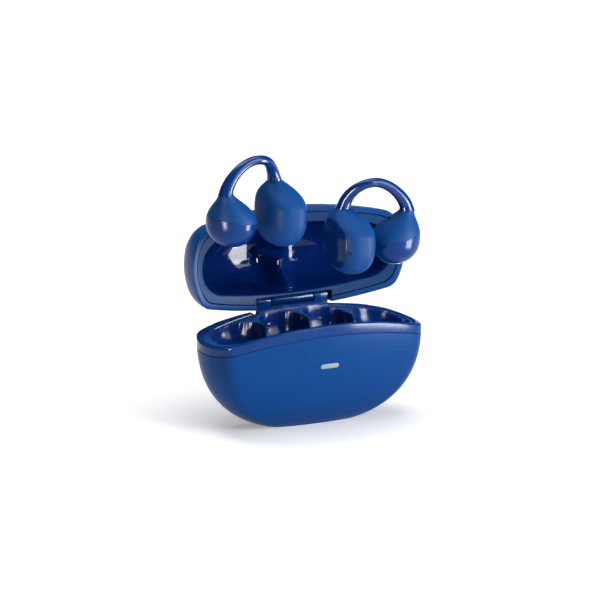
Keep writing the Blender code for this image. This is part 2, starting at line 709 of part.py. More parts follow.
def make_battery_pod(name, sign, pivot, home):
    cavity = as_cutter(
        add_object(name + "_battery_cavity", loft(mirrored(ball_rings(-POD_WALL), sign)), pivot, home)
    )
    tilt = Matrix.Rotation(sign * math.atan(-CAP_SEAM_SLOPE), 4, "Y")
    seam = Matrix.Translation((0, 0, CAP_SEAM_Z)) @ tilt
    half = 0.02
    blocks = {}
    for part, way in (("shell", -1), ("cap", 1)):
        middle = seam @ Matrix.Translation((0, 0, way * (half / 2 - PIECE_GAP / 2)))
        cutter = add_object(f"{name}_off_{part}", block((0.04, 0.04, half), (0, 0, 0), middle), pivot, home)
        blocks[part] = as_cutter(cutter)
    upper = add_object(name + "_battery_pod_shell", loft(mirrored(ball_rings(0.0), sign)), pivot, home)
    cap = add_object(name + "_battery_pod_cap", loft(mirrored(ball_rings(0.0), sign)), pivot, home)
    for made, part, finish in ((upper, "shell", MATTE_BLUE), (cap, "cap", GLOSS_BLUE)):
        boolean(made, cavity)
        boolean(made, blocks[part])
        made.data.materials.append(finish)

    cell = rod(CELL_RADIUS, CELL_HEIGHT, (0, 0, CELL_Z), (0, 0, 1), 20)
    add_object(name + "_bud_battery", cell, pivot, home).data.materials.append(FOIL)
    for end, y in (("front", -CONTACT_Y), ("rear", CONTACT_Y)):
        middle = (0, y, (CONTACT_TOP + CONTACT_FOOT) / 2)
        length = CONTACT_TOP - CONTACT_FOOT
        contact = rod(CONTACT_RADIUS, length, middle, (0, 0, 1), 12)
        made = add_object(f"{name}_charging_contact_{end}", contact, pivot, home)
        made.data.materials.append(GOLD)
        hole = rod(CONTACT_RADIUS + PIECE_GAP, 0.006, (0, y, CONTACT_FOOT), (0, 0, 1), 12)
        boolean(cap, as_cutter(add_object(f"{name}_contact_hole_{end}", hole, pivot, home)))

    ring = ball_ring(VENT_HEIGHT, 0.0)
    middle = sum(ring, Vector()) / len(ring)
    reach = (ring[0] - middle).length - VENT_SIZE[0] / 2
    turn = VENT_TURN if sign > 0 else math.pi - VENT_TURN
    middle.x *= sign
    place = Matrix.Translation(middle) @ Matrix.Rotation(turn, 4, "Z")
    place = place @ Matrix.Translation((reach - 0.0002, 0, 0)) @ Matrix.Rotation(math.radians(-45), 4, "Y")
    vent = add_object(name + "_vent_mesh", block(VENT_SIZE, (0, 0, 0), place), pivot, home)
    vent.data.materials.append(DARK)
    slot_size = (0.006, VENT_SIZE[1] + 2 * TRIM_GAP, VENT_SIZE[2] + 2 * TRIM_GAP)
    slot = add_object(name + "_vent_slot", block(slot_size, (0, 0, 0), place), pivot, home)
    boolean(upper, as_cutter(slot))


def make_speaker_pod(name, sign, bud):
    cavity = as_cutter(
        add_object(name + "_speaker_cavity", loft(mirrored(pebble_rings(-POD_WALL), sign)), bud)
    )
    wide = 0.03

    def slab(part, low, high):
        """Everything between two planes across X, for cutting a pod apart."""
        size = (high - low, wide, 2 * wide)
        middle = PEBBLE_AT + Vector(((low + high) / 2, 0, 0))
        middle.x *= sign
        return as_cutter(add_object(f"{name}_{part}", block(size, middle), bud))

    gap = PIECE_GAP / 2
    off_cover = slab("off_cover", COVER_SEAM_X - gap, wide)
    off_main = slab("off_main", -wide, COVER_SEAM_X + gap)
    face_side = slab("face_side", FACEPLATE_X - gap, wide)
    off_face = slab("off_face", -wide, FACEPLATE_X + gap)
    pieces = {
        "ear_side_cover": ((off_cover,), MATTE_BLUE),
        "speaker_pod_shell": ((off_main, face_side), MATTE_BLUE),
        "faceplate": ((off_face,), INNER_BLUE),
    }
    shells = {}
    for part, (cutters, finish) in pieces.items():
        made = add_object(f"{name}_{part}", loft(mirrored(pebble_rings(0.0), sign)), bud)
        boolean(made, cavity)
        for cutter in cutters:
            boolean(made, cutter)
        made.data.materials.append(finish)
        shells[part] = made

    for part, radius, span, finish in (
        ("speaker_driver", DRIVER_RADIUS, DRIVER_X, STEEL),
        ("bud_board", BUD_BOARD_RADIUS, BUD_BOARD_X, GREEN),
    ):
        middle = PEBBLE_AT + Vector((sum(span) / 2, 0, 0))
        middle.x *= sign
        made = add_object(f"{name}_{part}", rod(radius, span[1] - span[0], middle, (1, 0, 0), 20), bud)
        made.data.materials.append(finish)

    aim = Vector((sign * MIC_AIM[0], MIC_AIM[1], MIC_AIM[2])).normalized()
    at = PEBBLE_AT + Vector(MIC_AT)
    at.x *= sign
    mic = add_object(name + "_microphone_mesh", rod(MIC_RADIUS, MIC_LENGTH, at, aim, 12), bud)
    mic.data.materials.append(DARK)
    port = add_object(name + "_microphone_port", rod(MIC_RADIUS + TRIM_GAP, 0.008, at, aim, 12), bud)
    boolean(shells["speaker_pod_shell"], as_cutter(port))


def make_bridge(name, sign, bud):
    rings = sleeve_rings(False) + sleeve_rings(True)[::-1]
    sleeve = add_object(name + "_bridge_sleeve", loft(mirrored(rings, sign), ring_closed=True), bud)
    sleeve.data.materials.append(GLOSS_BLUE)
    rings = [bridge_ring(share, WIRE_RADIUS, 6) for share in spread(*WIRE_SPAN, SLEEVE_RINGS + 2)]
    wire = add_object(name + "_bridge_wire", loft(mirrored(rings, sign)), bud)
    wire.data.materials.append(STEEL)


def make_earbud(name, sign, place):
    bud = add_empty(name + "_earbud", place)
    top = Vector((sign * BRIDGE_TOP.x, BRIDGE_TOP.y, BRIDGE_TOP.z))
    pivot = add_empty(name + "_flex_axis", top, bud)
    make_battery_pod(name, sign, pivot, -top)
    make_speaker_pod(name, sign, bud)
    make_bridge(name, sign, bud)


LED_MIDDLE = (0, LED_Y + LED_DEPTH / 2 * math.cos(LED_TILT), LED_Z + LED_DEPTH / 2 * math.sin(LED_TILT))

clear_scene()
PARTS = new_collection("clip_on_earbuds_with_case")
CUTTERS = new_collection("cutters")
CASE_BLUE = plastic("semi_gloss_royal_blue", (0.012, 0.080, 0.330), 0.32)
GLOSS_BLUE = plastic("gloss_royal_blue", (0.010, 0.070, 0.300), 0.10)
MATTE_BLUE = plastic("matte_royal_blue", (0.012, 0.075, 0.290), 0.55)
INNER_BLUE = plastic("gloss_navy", (0.004, 0.022, 0.130), 0.08)
LENS = plastic("light_lens", (0.75, 0.77, 0.80), 0.35)
DARK = plastic("dark_mesh", (0.004, 0.008, 0.030), 0.60)
STEEL = plastic("steel", (0.55, 0.56, 0.58), 0.30, 1.0)
GOLD = plastic("gold_plate", (0.83, 0.62, 0.25), 0.25, 1.0)
FOIL = plastic("battery_foil", (0.50, 0.52, 0.55), 0.40, 0.5)
GREEN = plastic("circuit_board", (0.01, 0.10, 0.04), 0.50)

CASE_NOTCH = as_cutter(
    add_object(
        "case_notch",
        block((2 * NOTCH_HALF_WIDTH, 0.02, 0.02), (0, BRACKET_FRONT + 0.0097, CASE_NOTCH_FOOT + 0.01)),
    )
)
BRACKET_SEAT = as_cutter(
    add_object(
        "bracket_seat",
        block((2 * NOTCH_HALF_WIDTH, 0.02, 0.02), (0, BRACKET_FRONT + 0.0097, BRACKET_FOOT + 0.0097)),
    )
)
make_lower_shell().data.materials.append(CASE_BLUE)
make_rim_band(CASE_NOTCH).data.materials.append(GLOSS_BLUE)
make_tray(BRACKET_SEAT).data.materials.append(INNER_BLUE)
make_charging_pins()
make_case_inside()
make_hinge()
LID_AXIS = add_empty("lid_hinge_axis", (0, HINGE_Y, HINGE_Z))
LID_AXIS.rotation_euler = (-LID_OPEN, 0, 0)
make_lid(LID_AXIS)
for bud_name, (bud_sign, bud_place) in SIDES.items():
    make_earbud(bud_name, bud_sign, bud_place)
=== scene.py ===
# %% [markdown]
# Clip-on earbuds hovering over their open charging case
#
# Each earbud is a round battery pod and a pebble-shaped speaker pod on the two ends of a springy bridge.
# The case is two bowed shells on a hinge, with a glossy tray below and a glossy liner above. The packed
# solids are the frame: they say where every piece is and how it moves. This script draws finer surfaces
# around that frame and gives each one its finish.

# %% Load the frame
import json
import math

import bmesh
import bpy
from mathutils import Matrix, Vector

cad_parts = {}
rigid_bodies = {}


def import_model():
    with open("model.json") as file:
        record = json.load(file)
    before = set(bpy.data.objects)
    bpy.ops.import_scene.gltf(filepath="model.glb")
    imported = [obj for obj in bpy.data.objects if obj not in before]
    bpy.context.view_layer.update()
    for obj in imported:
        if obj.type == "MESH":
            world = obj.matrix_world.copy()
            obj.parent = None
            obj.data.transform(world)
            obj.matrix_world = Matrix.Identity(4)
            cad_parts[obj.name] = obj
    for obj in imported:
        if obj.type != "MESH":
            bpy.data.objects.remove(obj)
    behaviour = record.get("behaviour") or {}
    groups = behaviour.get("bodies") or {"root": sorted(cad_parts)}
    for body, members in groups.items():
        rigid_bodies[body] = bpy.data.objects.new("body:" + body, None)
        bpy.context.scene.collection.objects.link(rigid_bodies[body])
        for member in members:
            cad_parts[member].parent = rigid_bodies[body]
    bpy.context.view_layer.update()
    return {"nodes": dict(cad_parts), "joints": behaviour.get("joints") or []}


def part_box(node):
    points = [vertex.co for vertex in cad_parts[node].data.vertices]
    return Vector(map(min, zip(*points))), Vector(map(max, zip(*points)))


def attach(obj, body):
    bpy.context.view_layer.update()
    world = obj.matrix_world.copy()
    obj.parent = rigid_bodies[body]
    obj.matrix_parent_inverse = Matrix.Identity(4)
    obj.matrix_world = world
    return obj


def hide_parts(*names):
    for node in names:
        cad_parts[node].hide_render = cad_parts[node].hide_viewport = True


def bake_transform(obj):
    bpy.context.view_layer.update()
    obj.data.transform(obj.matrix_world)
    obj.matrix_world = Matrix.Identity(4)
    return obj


for startup_item in list(bpy.data.objects):
    bpy.data.objects.remove(startup_item, do_unlink=True)
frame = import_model()
JOINTS = {joint["name"]: joint for joint in frame["joints"]}

# %% [markdown]
# Colours and nodes
#
# Paint charts give colours as sRGB hex values, and the shaders work in linear light, so one function
# turns the first into the second. One other function adds a shader node with its settings and its links,
# which keeps each finish short enough to read as a recipe.

# %% Two helpers for finishes
MM = 0.001


def linear(hex_colour):
    """An sRGB hex value such as #1D4F94 as the linear colour that a shader socket takes."""
    shares = [int(hex_colour[place : place + 2], 16) / 255 for place in (1, 3, 5)]
    return (*[c / 12.92 if c <= 0.04045 else ((c + 0.055) / 1.055) ** 2.4 for c in shares], 1.0)


def add_node(tree, kind, inputs=None, **settings):
    """A node of that kind; an input given as a socket is linked, and any other is set."""
    made = tree.nodes.new(kind)
    for name, value in settings.items():
        setattr(made, name, value)
    for socket, value in (inputs or {}).items():
        if isinstance(value, bpy.types.NodeSocket):
            tree.links.new(value, made.inputs[socket])
        else:
            made.inputs[socket].default_value = value
    return made


print("royal blue in linear light:", [round(c, 3) for c in linear("#1D4F94")])

# %% [markdown]
# Moulded plastics
#
# Both shells, the trim and the pods are injection-moulded ABS. What differs is the mould: polished steel
# gives a mirror surface, and spark-eroded steel gives a fine grain that scatters light. The recipe is the
# same for all: a colour that drifts a little over some centimetres, a grain that is a bump, and a
# roughness that varies by a few hundredths, as handling leaves it. Real grain is about 0.05 mm; it is
# drawn coarser so that it shows at all. The moulded silicone of the bridge takes the same recipe.
#
# The IOR is that of ABS. The gloss level is set below the usual 0.5, because at full gloss the white
# floor greys these dark blues much more than the photograph shows.

# %% One recipe for every moulded finish
GRAIN_MM = 0.25
DRIFT_MM = 14.0
POLISH_SPREAD = 0.12
ABS_IOR = 1.5


def moulded(name, colour, other, roughness, level, grain_depth_mm):
    """Plastic from a mould: two close colours that drift into each other, fine grain, uneven polish."""
    made = bpy.data.materials.new(name)
    made.use_nodes = True
    tree = made.node_tree
    shader = tree.nodes["Principled BSDF"]
    place = add_node(tree, "ShaderNodeTexCoord").outputs["Object"]
    drift = add_node(
        tree, "ShaderNodeTexNoise", {"Vector": place, "Scale": 1 / (DRIFT_MM * MM), "Detail": 2.0}
    ).outputs["Fac"]
    tint = add_node(
        tree,
        "ShaderNodeMix",
        {"Factor": drift, "A": linear(colour), "B": linear(other)},
        data_type="RGBA",
    )
    polish = add_node(
        tree,
        "ShaderNodeMapRange",
        {
            "Value": drift,
            "To Min": roughness * (1 - POLISH_SPREAD),
            "To Max": roughness * (1 + POLISH_SPREAD),
        },
    )
    grain = add_node(
        tree, "ShaderNodeTexNoise", {"Vector": place, "Scale": 1 / (GRAIN_MM * MM), "Detail": 3.0}
    ).outputs["Fac"]
    relief = add_node(
        tree, "ShaderNodeBump", {"Height": grain, "Strength": 1.0, "Distance": grain_depth_mm * MM}
    )
    tree.links.new(tint.outputs["Result"], shader.inputs["Base Color"])
    tree.links.new(polish.outputs["Result"], shader.inputs["Roughness"])
    tree.links.new(relief.outputs["Normal"], shader.inputs["Normal"])
    shader.inputs["IOR"].default_value = ABS_IOR
    shader.inputs["Specular IOR Level"].default_value = level
    return made


CASE_ABS = moulded("semi_gloss_abs_case", "#104C93", "#0D468A", 0.30, level=0.07, grain_depth_mm=0.002)
BAND_ABS = moulded("polished_abs_band", "#06408A", "#053B82", 0.13, level=0.20, grain_depth_mm=0.0005)
POD_ABS = moulded("soft_touch_abs_pods", "#124C92", "#0F4688", 0.50, level=0.07, grain_depth_mm=0.006)
CAP_ABS = moulded("polished_abs_caps", "#043C86", "#03377E", 0.19, level=0.18, grain_depth_mm=0.0004)
SLEEVE_SILICONE = moulded("glossy_silicone", "#063C84", "#04367A", 0.16, level=0.32, grain_depth_mm=0.0006)
INNER_ABS = moulded("mirror_abs_interior", "#042F7C", "#032972", 0.07, level=0.22, grain_depth_mm=0.0003)
TRAY_ABS = moulded("polished_abs_tray", "#04307A", "#032A6E", 0.18, level=0.17, grain_depth_mm=0.0005)
FLANGE_ABS = moulded("satin_abs_flange", "#13447C", "#0F3E72", 0.40, level=0.07, grain_depth_mm=0.003)
# Painted light: this plate colour is lighter than the tray's to make up for the open lid's shadow on the
# tray.
PAINTED_LIGHT_PLATE_ABS = moulded("satin_abs_plate_painted_lighter", "#20569A", "#1B5092", 0.40, level=0.12, grain_depth_mm=0.003)
FACE_ABS = moulded("polished_abs_faceplates", "#053072", "#042B68", 0.17, level=0.17, grain_depth_mm=0.0005)
print("plastics:", [m.name for m in bpy.data.materials if "abs" in m.name or "silicone" in m.name])

# %% [markdown]
# Metals, lens, mesh, foil and board
#
# The small hard parts have their own finishes. Gold plating over brass is bright with soft wear, stamped
# steel shows brushing along its length, and the acoustic meshes are woven from dark wire at about 0.15
# mm, drawn here at 0.3 mm so that the weave shows. The light window is frosted polycarbonate. Battery
# foil and circuit board are sealed inside and only show if a shell is taken off.

# %% Finishes of the small parts
HOLLOW_SHADE = 0.72
BRUSHED_ALONG_X = (1, 12, 12)


def small_finish(name, colour, roughness, metallic, size_mm, depth_mm, woven=False, stretch=None):
    """A finish with one texture of a real size, which drives its relief and paints shade into its hollows."""
    made = bpy.data.materials.new(name)
    made.use_nodes = True
    tree = made.node_tree
    shader = tree.nodes["Principled BSDF"]
    place = add_node(tree, "ShaderNodeTexCoord").outputs["Object"]
    if stretch:
        place = add_node(tree, "ShaderNodeMapping", {"Vector": place, "Scale": stretch}).outputs["Vector"]
    inputs = {"Vector": place, "Scale": 1 / (size_mm * MM)}
    if woven:
        cells = add_node(tree, "ShaderNodeTexVoronoi", {**inputs, "Randomness": 0.0})
        pattern = cells.outputs["Distance"]
    else:
        pattern = add_node(tree, "ShaderNodeTexNoise", inputs).outputs["Fac"]
    # Painted shade: the low parts of the pattern, the hollows of the relief, are darkened by this share.
    dark = tuple(HOLLOW_SHADE * share for share in linear(colour)[:3]) + (1.0,)
    tint = add_node(
        tree, "ShaderNodeMix", {"Factor": pattern, "A": dark, "B": linear(colour)}, data_type="RGBA"
    )
    relief = add_node(tree, "ShaderNodeBump", {"Height": pattern, "Distance": depth_mm * MM})
    tree.links.new(tint.outputs["Result"], shader.inputs["Base Color"])
    tree.links.new(relief.outputs["Normal"], shader.inputs["Normal"])
    shader.inputs["Roughness"].default_value = roughness
    shader.inputs["Metallic"].default_value = metallic
    return made


GOLD = small_finish("gold_plated_brass", "#E8C878", 0.22, metallic=1.0, size_mm=0.4, depth_mm=0.002)
STEEL = small_finish(
    "brushed_steel", "#C4C6CA", 0.30, metallic=1.0, size_mm=2.0, depth_mm=0.002, stretch=BRUSHED_ALONG_X
)
WEAVE = small_finish("woven_dark_mesh", "#0A1638", 0.55, metallic=0.6, size_mm=0.3, depth_mm=0.05, woven=True)
LENS_PC = small_finish("frosted_polycarbonate", "#A9B8C4", 0.38, metallic=0.0, size_mm=0.5, depth_mm=0.004)
FOIL = small_finish("battery_foil", "#B9BDC4", 0.35, metallic=0.7, size_mm=3.0, depth_mm=0.05)
BOARD = small_finish("solder_mask_board", "#0F5A3A", 0.45, metallic=0.0, size_mm=1.5, depth_mm=0.02)
print("small finishes:", [m.name for m in (GOLD, STEEL, WEAVE, LENS_PC, FOIL, BOARD)])

# %% [markdown]
# Drawing in millimetres
#
# Every surface here is drawn in millimetres in the frame's own axes, and one function turns it into an
# object in metres that rides on a body and stands for its solid. A loft, which is quads between rings of
# equal count, makes nearly all of the shapes: a moulded shell is a stack of sections, so its sections are
# what the script describes. A Boolean that fails can take half of a shape away without a word, so each
# piece is also measured against the solid that it stands for.


# %% Helpers for meshes
def loft(rings, ring_closed=False):
    """Quads between rings of equal count; the end rings are capped, or joined where ring_closed."""
    bm = bmesh.new()
    rows = [[bm.verts.new(point) for point in ring] for ring in rings]
    pairs = list(zip(rows, rows[1:]))
    if ring_closed:
        pairs.append((rows[-1], rows[0]))
    for first, second in pairs:
        for here in range(len(first)):
            there = (here + 1) % len(first)
            bm.faces.new((first[here], first[there], second[there], second[here]))
    if not ring_closed:
        bm.faces.new(rows[0])
        bm.faces.new(rows[-1])
    bmesh.ops.recalc_face_normals(bm, faces=bm.faces)
    return bm


def spread(low, high, count):
    """Evenly spaced values from low to high."""
    return [low + (high - low) * step / (count - 1) for step in range(count)]


def scratch_object(bm):
    """A short-lived object, for a modifier to work on."""
    mesh = bpy.data.meshes.new("scratch")
    bm.to_mesh(mesh)
    bm.free()
    made = bpy.data.objects.new("scratch", mesh)
    bpy.context.scene.collection.objects.link(made)
    return made


def carve(bm, tool, operation="DIFFERENCE"):
    """One shape cut from another, or added to it."""
    solid = scratch_object(bm)
    other = scratch_object(tool)
    modifier = solid.modifiers.new("carve", "BOOLEAN")
    modifier.operation = operation
    modifier.solver = "EXACT"
    modifier.object = other
    mesh = bpy.data.meshes.new_from_object(solid.evaluated_get(bpy.context.evaluated_depsgraph_get()))
    made = bmesh.new()
    made.from_mesh(mesh)
    for item in (solid, other):
        bpy.data.objects.remove(item, do_unlink=True)
    return made


BEVEL_SEGMENTS = 3
BEVEL_ANGLE = math.radians(40)
SHARP_ANGLE = math.radians(32)
LEAST_SHARE = 0.8


def diagonal(points):
    """The length from corner to corner of the box round some points."""
    spans = []
    for axis in range(3):
        values = [point[axis] for point in points]
        spans.append(max(values) - min(values))
    return Vector(spans).length


def add_piece(name, bm, finishes, body, node, bevel=0.0):
    """The drawn shape as an object in metres that stands for its solid; with no body it rides on none."""
    bm.transform(Matrix.Scale(MM, 4))
    # A mirror image, for one, comes with its faces turned inwards.
    if bm.calc_volume(signed=True) < 0:
        bmesh.ops.reverse_faces(bm, faces=bm.faces)
    mesh = bpy.data.meshes.new(name)
    bm.to_mesh(mesh)
    bm.free()
    made = bpy.data.objects.new(name, mesh)
    bpy.context.scene.collection.objects.link(made)
    if bevel:
        rounding = made.modifiers.new("rounded_edges", "BEVEL")
        rounding.width = bevel * MM
        rounding.segments = BEVEL_SEGMENTS
        rounding.limit_method = "ANGLE"
        rounding.angle_limit = BEVEL_ANGLE
        graph = bpy.context.evaluated_depsgraph_get()
        made.data = bpy.data.meshes.new_from_object(made.evaluated_get(graph))
        made.modifiers.clear()
    for finish in finishes:
        made.data.materials.append(finish)
    made.data.shade_smooth()
    made.data.set_sharp_from_angle(angle=SHARP_ANGLE)
    if body:
        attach(made, body)
    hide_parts(node)
    share = diagonal([vertex.co for vertex in mesh.vertices]) / diagonal(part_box(node))
    assert share > LEAST_SHARE, name + " has lost part of its shape"
    print(name, len(made.data.polygons), "faces")
    return made


def block(size, at, turn=None):
    """A box with its middle at a point."""
    bm = bmesh.new()
    place = Matrix.Translation(at) @ (turn or Matrix())
    bmesh.ops.create_cube(bm, size=1.0, matrix=place @ Matrix.Diagonal((*size, 1.0)))
    return bm


def rod(radius, length, at, axis, sides=48):
    """A round rod along an axis, with its middle at a point."""
    turn = Vector((0, 0, 1)).rotation_difference(Vector(axis)).to_matrix().to_4x4()
    bm = bmesh.new()
    bmesh.ops.create_cone(
        bm,
        cap_ends=True,
        segments=sides,
        radius1=radius,
        radius2=radius,
        depth=length,
        matrix=Matrix.Translation(at) @ turn,
    )
    return bm


def pill(length, height, depth, at, tilt=0.0, steps=16):
    """A flat bar with round ends, long in X, its depth along Y, tilted about X."""
    radius = height / 2
    reach = length / 2 - radius
    outline = []
    for side, start in ((1, -0.5), (-1, 0.5)):
        for step in range(steps + 1):
            turn = math.pi * (start + step / steps)
            outline.append((side * reach + radius * math.cos(turn), radius * math.sin(turn)))
    place = Matrix.Translation(at) @ Matrix.Rotation(tilt, 4, "X")
    return loft([[place @ Vector((x, y, z)) for x, z in outline] for y in (-depth / 2, depth / 2)])


# %% [markdown]
# Camera
#
# The photograph was taken with a long lens, so its lines stay parallel. The camera stands far off at the
# same azimuth and height over the horizon, with a lens long enough to fill the frame as the photograph
# does.

# %% Place the camera
CAMERA_AZIMUTH = math.radians(-26.29)
CAMERA_ELEVATION = math.radians(14.625)
CAMERA_DISTANCE = 3770.0
PIXELS_PER_MM = 3.432
FRAME_PIXELS = 600
SENSOR_WIDTH = 36.0
AIM_RIGHT = -2.642
AIM_UP = 4.02
RIM_HEIGHT = 32.0

RIGHTWARD = Vector((math.cos(CAMERA_AZIMUTH), math.sin(CAMERA_AZIMUTH), 0))
TOWARD = Vector(
    (
        math.sin(CAMERA_AZIMUTH) * math.cos(CAMERA_ELEVATION),
        -math.cos(CAMERA_AZIMUTH) * math.cos(CAMERA_ELEVATION),
        math.sin(CAMERA_ELEVATION),
    )
)
UPWARD = TOWARD.cross(RIGHTWARD)
AIM = Vector((0, 0, RIM_HEIGHT)) + AIM_RIGHT * RIGHTWARD + AIM_UP * UPWARD
camera = bpy.data.objects.new("camera", bpy.data.cameras.new("camera"))
bpy.context.scene.collection.objects.link(camera)
camera.location = (AIM + CAMERA_DISTANCE * TOWARD) * MM
camera.rotation_euler = TOWARD.to_track_quat("Z", "Y").to_euler()
camera.data.sensor_width = SENSOR_WIDTH
camera.data.lens = PIXELS_PER_MM * CAMERA_DISTANCE / FRAME_PIXELS * SENSOR_WIDTH
bpy.context.scene.camera = camera
print("camera lens", round(camera.data.lens), "mm")

# %% [markdown]
# The plan of the case
#
# Seen from above, the case is a rectangle whose sides and ends bow outwards and whose corners are
# rounded. From the rim, both shells draw in towards the foot and the crown as superellipses do. So one
# closed line and one rule for how it shrinks describe the band, the tray, the lower shell, the lid and
# its liner.

# %% Rings of the case
CORNER_X = 31.0
CORNER_Y = 11.09
SIDE_BOW = 3.67
END_BOW = 3.36
RIM_ARCH = 4.17
CORNER_CUT = 1.9
END_STEPS = 12
CORNER_STEPS = 9
SIDE_STEPS = 26


def plan_loop(inset_x, inset_y, cut=CORNER_CUT, bow=SIDE_BOW, fine=1):
    """The rim seen from above, drawn in by the insets, its corners rounded over a length of cut."""
    corner_x = CORNER_X - inset_x
    corner_y = CORNER_Y - inset_y

    def end_x(y):
        return corner_x + END_BOW * (1 - (y / corner_y) ** 2)

    def side_y(x):
        return corner_y + bow * (1 - (x / corner_x) ** 2)

    quarter = [(end_x(y), y) for y in spread(0, corner_y - cut, fine * END_STEPS)]
    first = Vector(quarter[-1])
    last = Vector((corner_x - cut, side_y(corner_x - cut)))
    corner = Vector((corner_x, corner_y))
    for share in spread(0, 1, fine * CORNER_STEPS + 2)[1:-1]:
        point = first.lerp(corner, share).lerp(corner.lerp(last, share), share)
        quarter.append((point.x, point.y))
    quarter += [(x, side_y(x)) for x in spread(corner_x - cut, 0, fine * SIDE_STEPS)]
    back = quarter + [(-x, y) for x, y in reversed(quarter[:-1])]
    return back + [(-x, -y) for x, y in back[1:-1]]


def arch(x):
    """How far the rim has come down at x from its highest point, in the middle."""
    return RIM_ARCH * (x / CORNER_X) ** 2


def rim_ring(inset_x, inset_y, lift, cut=CORNER_CUT, bow=SIDE_BOW, fine=1):
    """A ring that follows the arched rim, lifted above it."""
    loop = plan_loop(inset_x, inset_y, cut, bow, fine)
    return [Vector((x, y, RIM_HEIGHT + lift - arch(x))) for x, y in loop]


def dome_ring(share, inset, height, power_x, power_y, cut, softening, bow=SIDE_BOW):
    """The rim drawn in as the surface runs down (height below 0) or up to its crown."""
    narrow_x = (1 - share**power_x) ** (1 / power_x)
    narrow_y = (1 - share**power_y) ** (1 / power_y)
    ring = []
    for x, y in plan_loop(inset, inset, cut + softening * share, bow):
        z = RIM_HEIGHT + height * share - arch(x) * (1 - share)
        ring.append(Vector((x * narrow_x, y * narrow_y, z)))
    return ring


def lifted(ring, height):
    """A ring moved straight up."""
    return [point + Vector((0, 0, height)) for point in ring]


def eased(count, low, high):
    """Shares that run closer together towards the high end, where a dome turns fastest."""
    return [low + (high - low) * math.sin(step / (count - 1) * math.pi / 2) for step in range(count)]


def edge_steps(edge):
    """Steps over a rounded edge: how far it has come in, and how far its top is still away."""
    turns = [math.radians(turn) for turn in (0, 30, 60, 90)]
    return [(edge * (1 - math.cos(turn)), edge * (1 - math.sin(turn))) for turn in turns]


print("rim loop:", len(plan_loop(0, 0)), "points")

# %% [markdown]
# Lower shell
#
# The lower shell is one deep moulding: bowed sides, a soft edge at each corner that runs down and fades,
# and a small flat foot. It is drawn as a cup with a real wall, so that the windows for the light and the
# socket show an edge.

# %% Draw the lower shell
BODY_DEPTH = 33.33
BODY_POWER_X = 2.45
BODY_POWER_Y = 2.0
BODY_SOFTENING = 1.0
BODY_WALL = 1.6
BODY_RINGS = 44
BAND_SHARE = 0.095
FOOT_SHARE = 0.954
INSIDE_FOOT_SHARE = 0.93
SHELL_LIP = 0.25
SEAM = 0.05
LIGHT_LENGTH = 5.85
LIGHT_HEIGHT = 1.45
LIGHT_TILT = math.radians(10.2)
LIGHT_AT = Vector((0, -13.69, 19.5))
SOCKET_LENGTH = 8.94
SOCKET_HEIGHT = 3.16
SOCKET_AT = Vector((0, 12.2, 14.0))
WINDOW_GAP = 0.08
SOCKET_GAP = 0.2
WINDOW_CUT = 8.0


def body_ring(share, inset=0.0):
    """The outline of the lower shell at a share of its depth, drawn in by an inset."""
    return dome_ring(share, inset, inset - BODY_DEPTH, BODY_POWER_X, BODY_POWER_Y, CORNER_CUT, BODY_SOFTENING)


shell_top = BAND_SHARE + 2 * SEAM / BODY_DEPTH
outside = [body_ring(share) for share in eased(BODY_RINGS, shell_top + SHELL_LIP / BODY_DEPTH, FOOT_SHARE)]
outside[-1] = [Vector((point.x, point.y, 0)) for point in outside[-1]]
lip = [body_ring(shell_top, inset) for inset in (BODY_WALL, BODY_WALL / 2, SHELL_LIP)]
inside = [body_ring(share, BODY_WALL) for share in eased(BODY_RINGS // 2, shell_top, INSIDE_FOOT_SHARE)]
shell = loft(inside[::-1] + lip + outside)
light_hole = (LIGHT_LENGTH + 2 * WINDOW_GAP, LIGHT_HEIGHT + 2 * WINDOW_GAP, WINDOW_CUT)
socket_hole = (SOCKET_LENGTH + 2 * SOCKET_GAP, SOCKET_HEIGHT + 2 * SOCKET_GAP, WINDOW_CUT)
shell = carve(shell, pill(*light_hole, LIGHT_AT, LIGHT_TILT))
shell = carve(shell, pill(*socket_hole, SOCKET_AT))
add_piece("lower_shell", shell, [CASE_ABS], "case", "case_lower_shell")

# %% [markdown]
# Light window and charging socket
#
# The status light shows through a frosted pill set flush in the front. At the back is a stamped socket: a
# thin oval tube with a tongue inside.

# %% Draw the window and the socket
LIGHT_DEPTH = 1.8
LIGHT_PROUD = 0.05
SOCKET_DEPTH = 6.8
SOCKET_SKIN = 0.3
SOCKET_POCKET = 5.6
TONGUE = (6.7, 4.8, 0.7)
TONGUE_REACH = 0.4

light_axis = Vector((0, math.cos(LIGHT_TILT), math.sin(LIGHT_TILT)))
light_middle = LIGHT_AT + light_axis * (LIGHT_DEPTH / 2 - LIGHT_PROUD)
light = pill(LIGHT_LENGTH, LIGHT_HEIGHT, LIGHT_DEPTH, light_middle, LIGHT_TILT)
add_piece("light_window", light, [LENS_PC], "case", "status_light_lens", bevel=0.12)

socket_middle = SOCKET_AT - Vector((0, SOCKET_DEPTH / 2, 0))
socket = pill(SOCKET_LENGTH, SOCKET_HEIGHT, SOCKET_DEPTH, socket_middle)
hollow = pill(SOCKET_LENGTH - 2 * SOCKET_SKIN, SOCKET_HEIGHT - 2 * SOCKET_SKIN, 2 * SOCKET_POCKET, SOCKET_AT)
socket = carve(socket, hollow)
tongue_at = SOCKET_AT - Vector((0, SOCKET_POCKET - TONGUE_REACH * TONGUE[1], 0))
socket = carve(socket, block(TONGUE, tongue_at), "UNION")
add_piece("charging_socket", socket, [STEEL], "case", "usb_c_socket", bevel=0.08)

# %% [markdown]
# Rim band
#
# A polished band runs round the rim and catches the lamps as a bright line. It is a closed ring: up the
# outside, over a rounded edge, and down the inside. Behind, it dips a little so that the lid's rear edge
# can swing through, and it is cut away for the hinge.

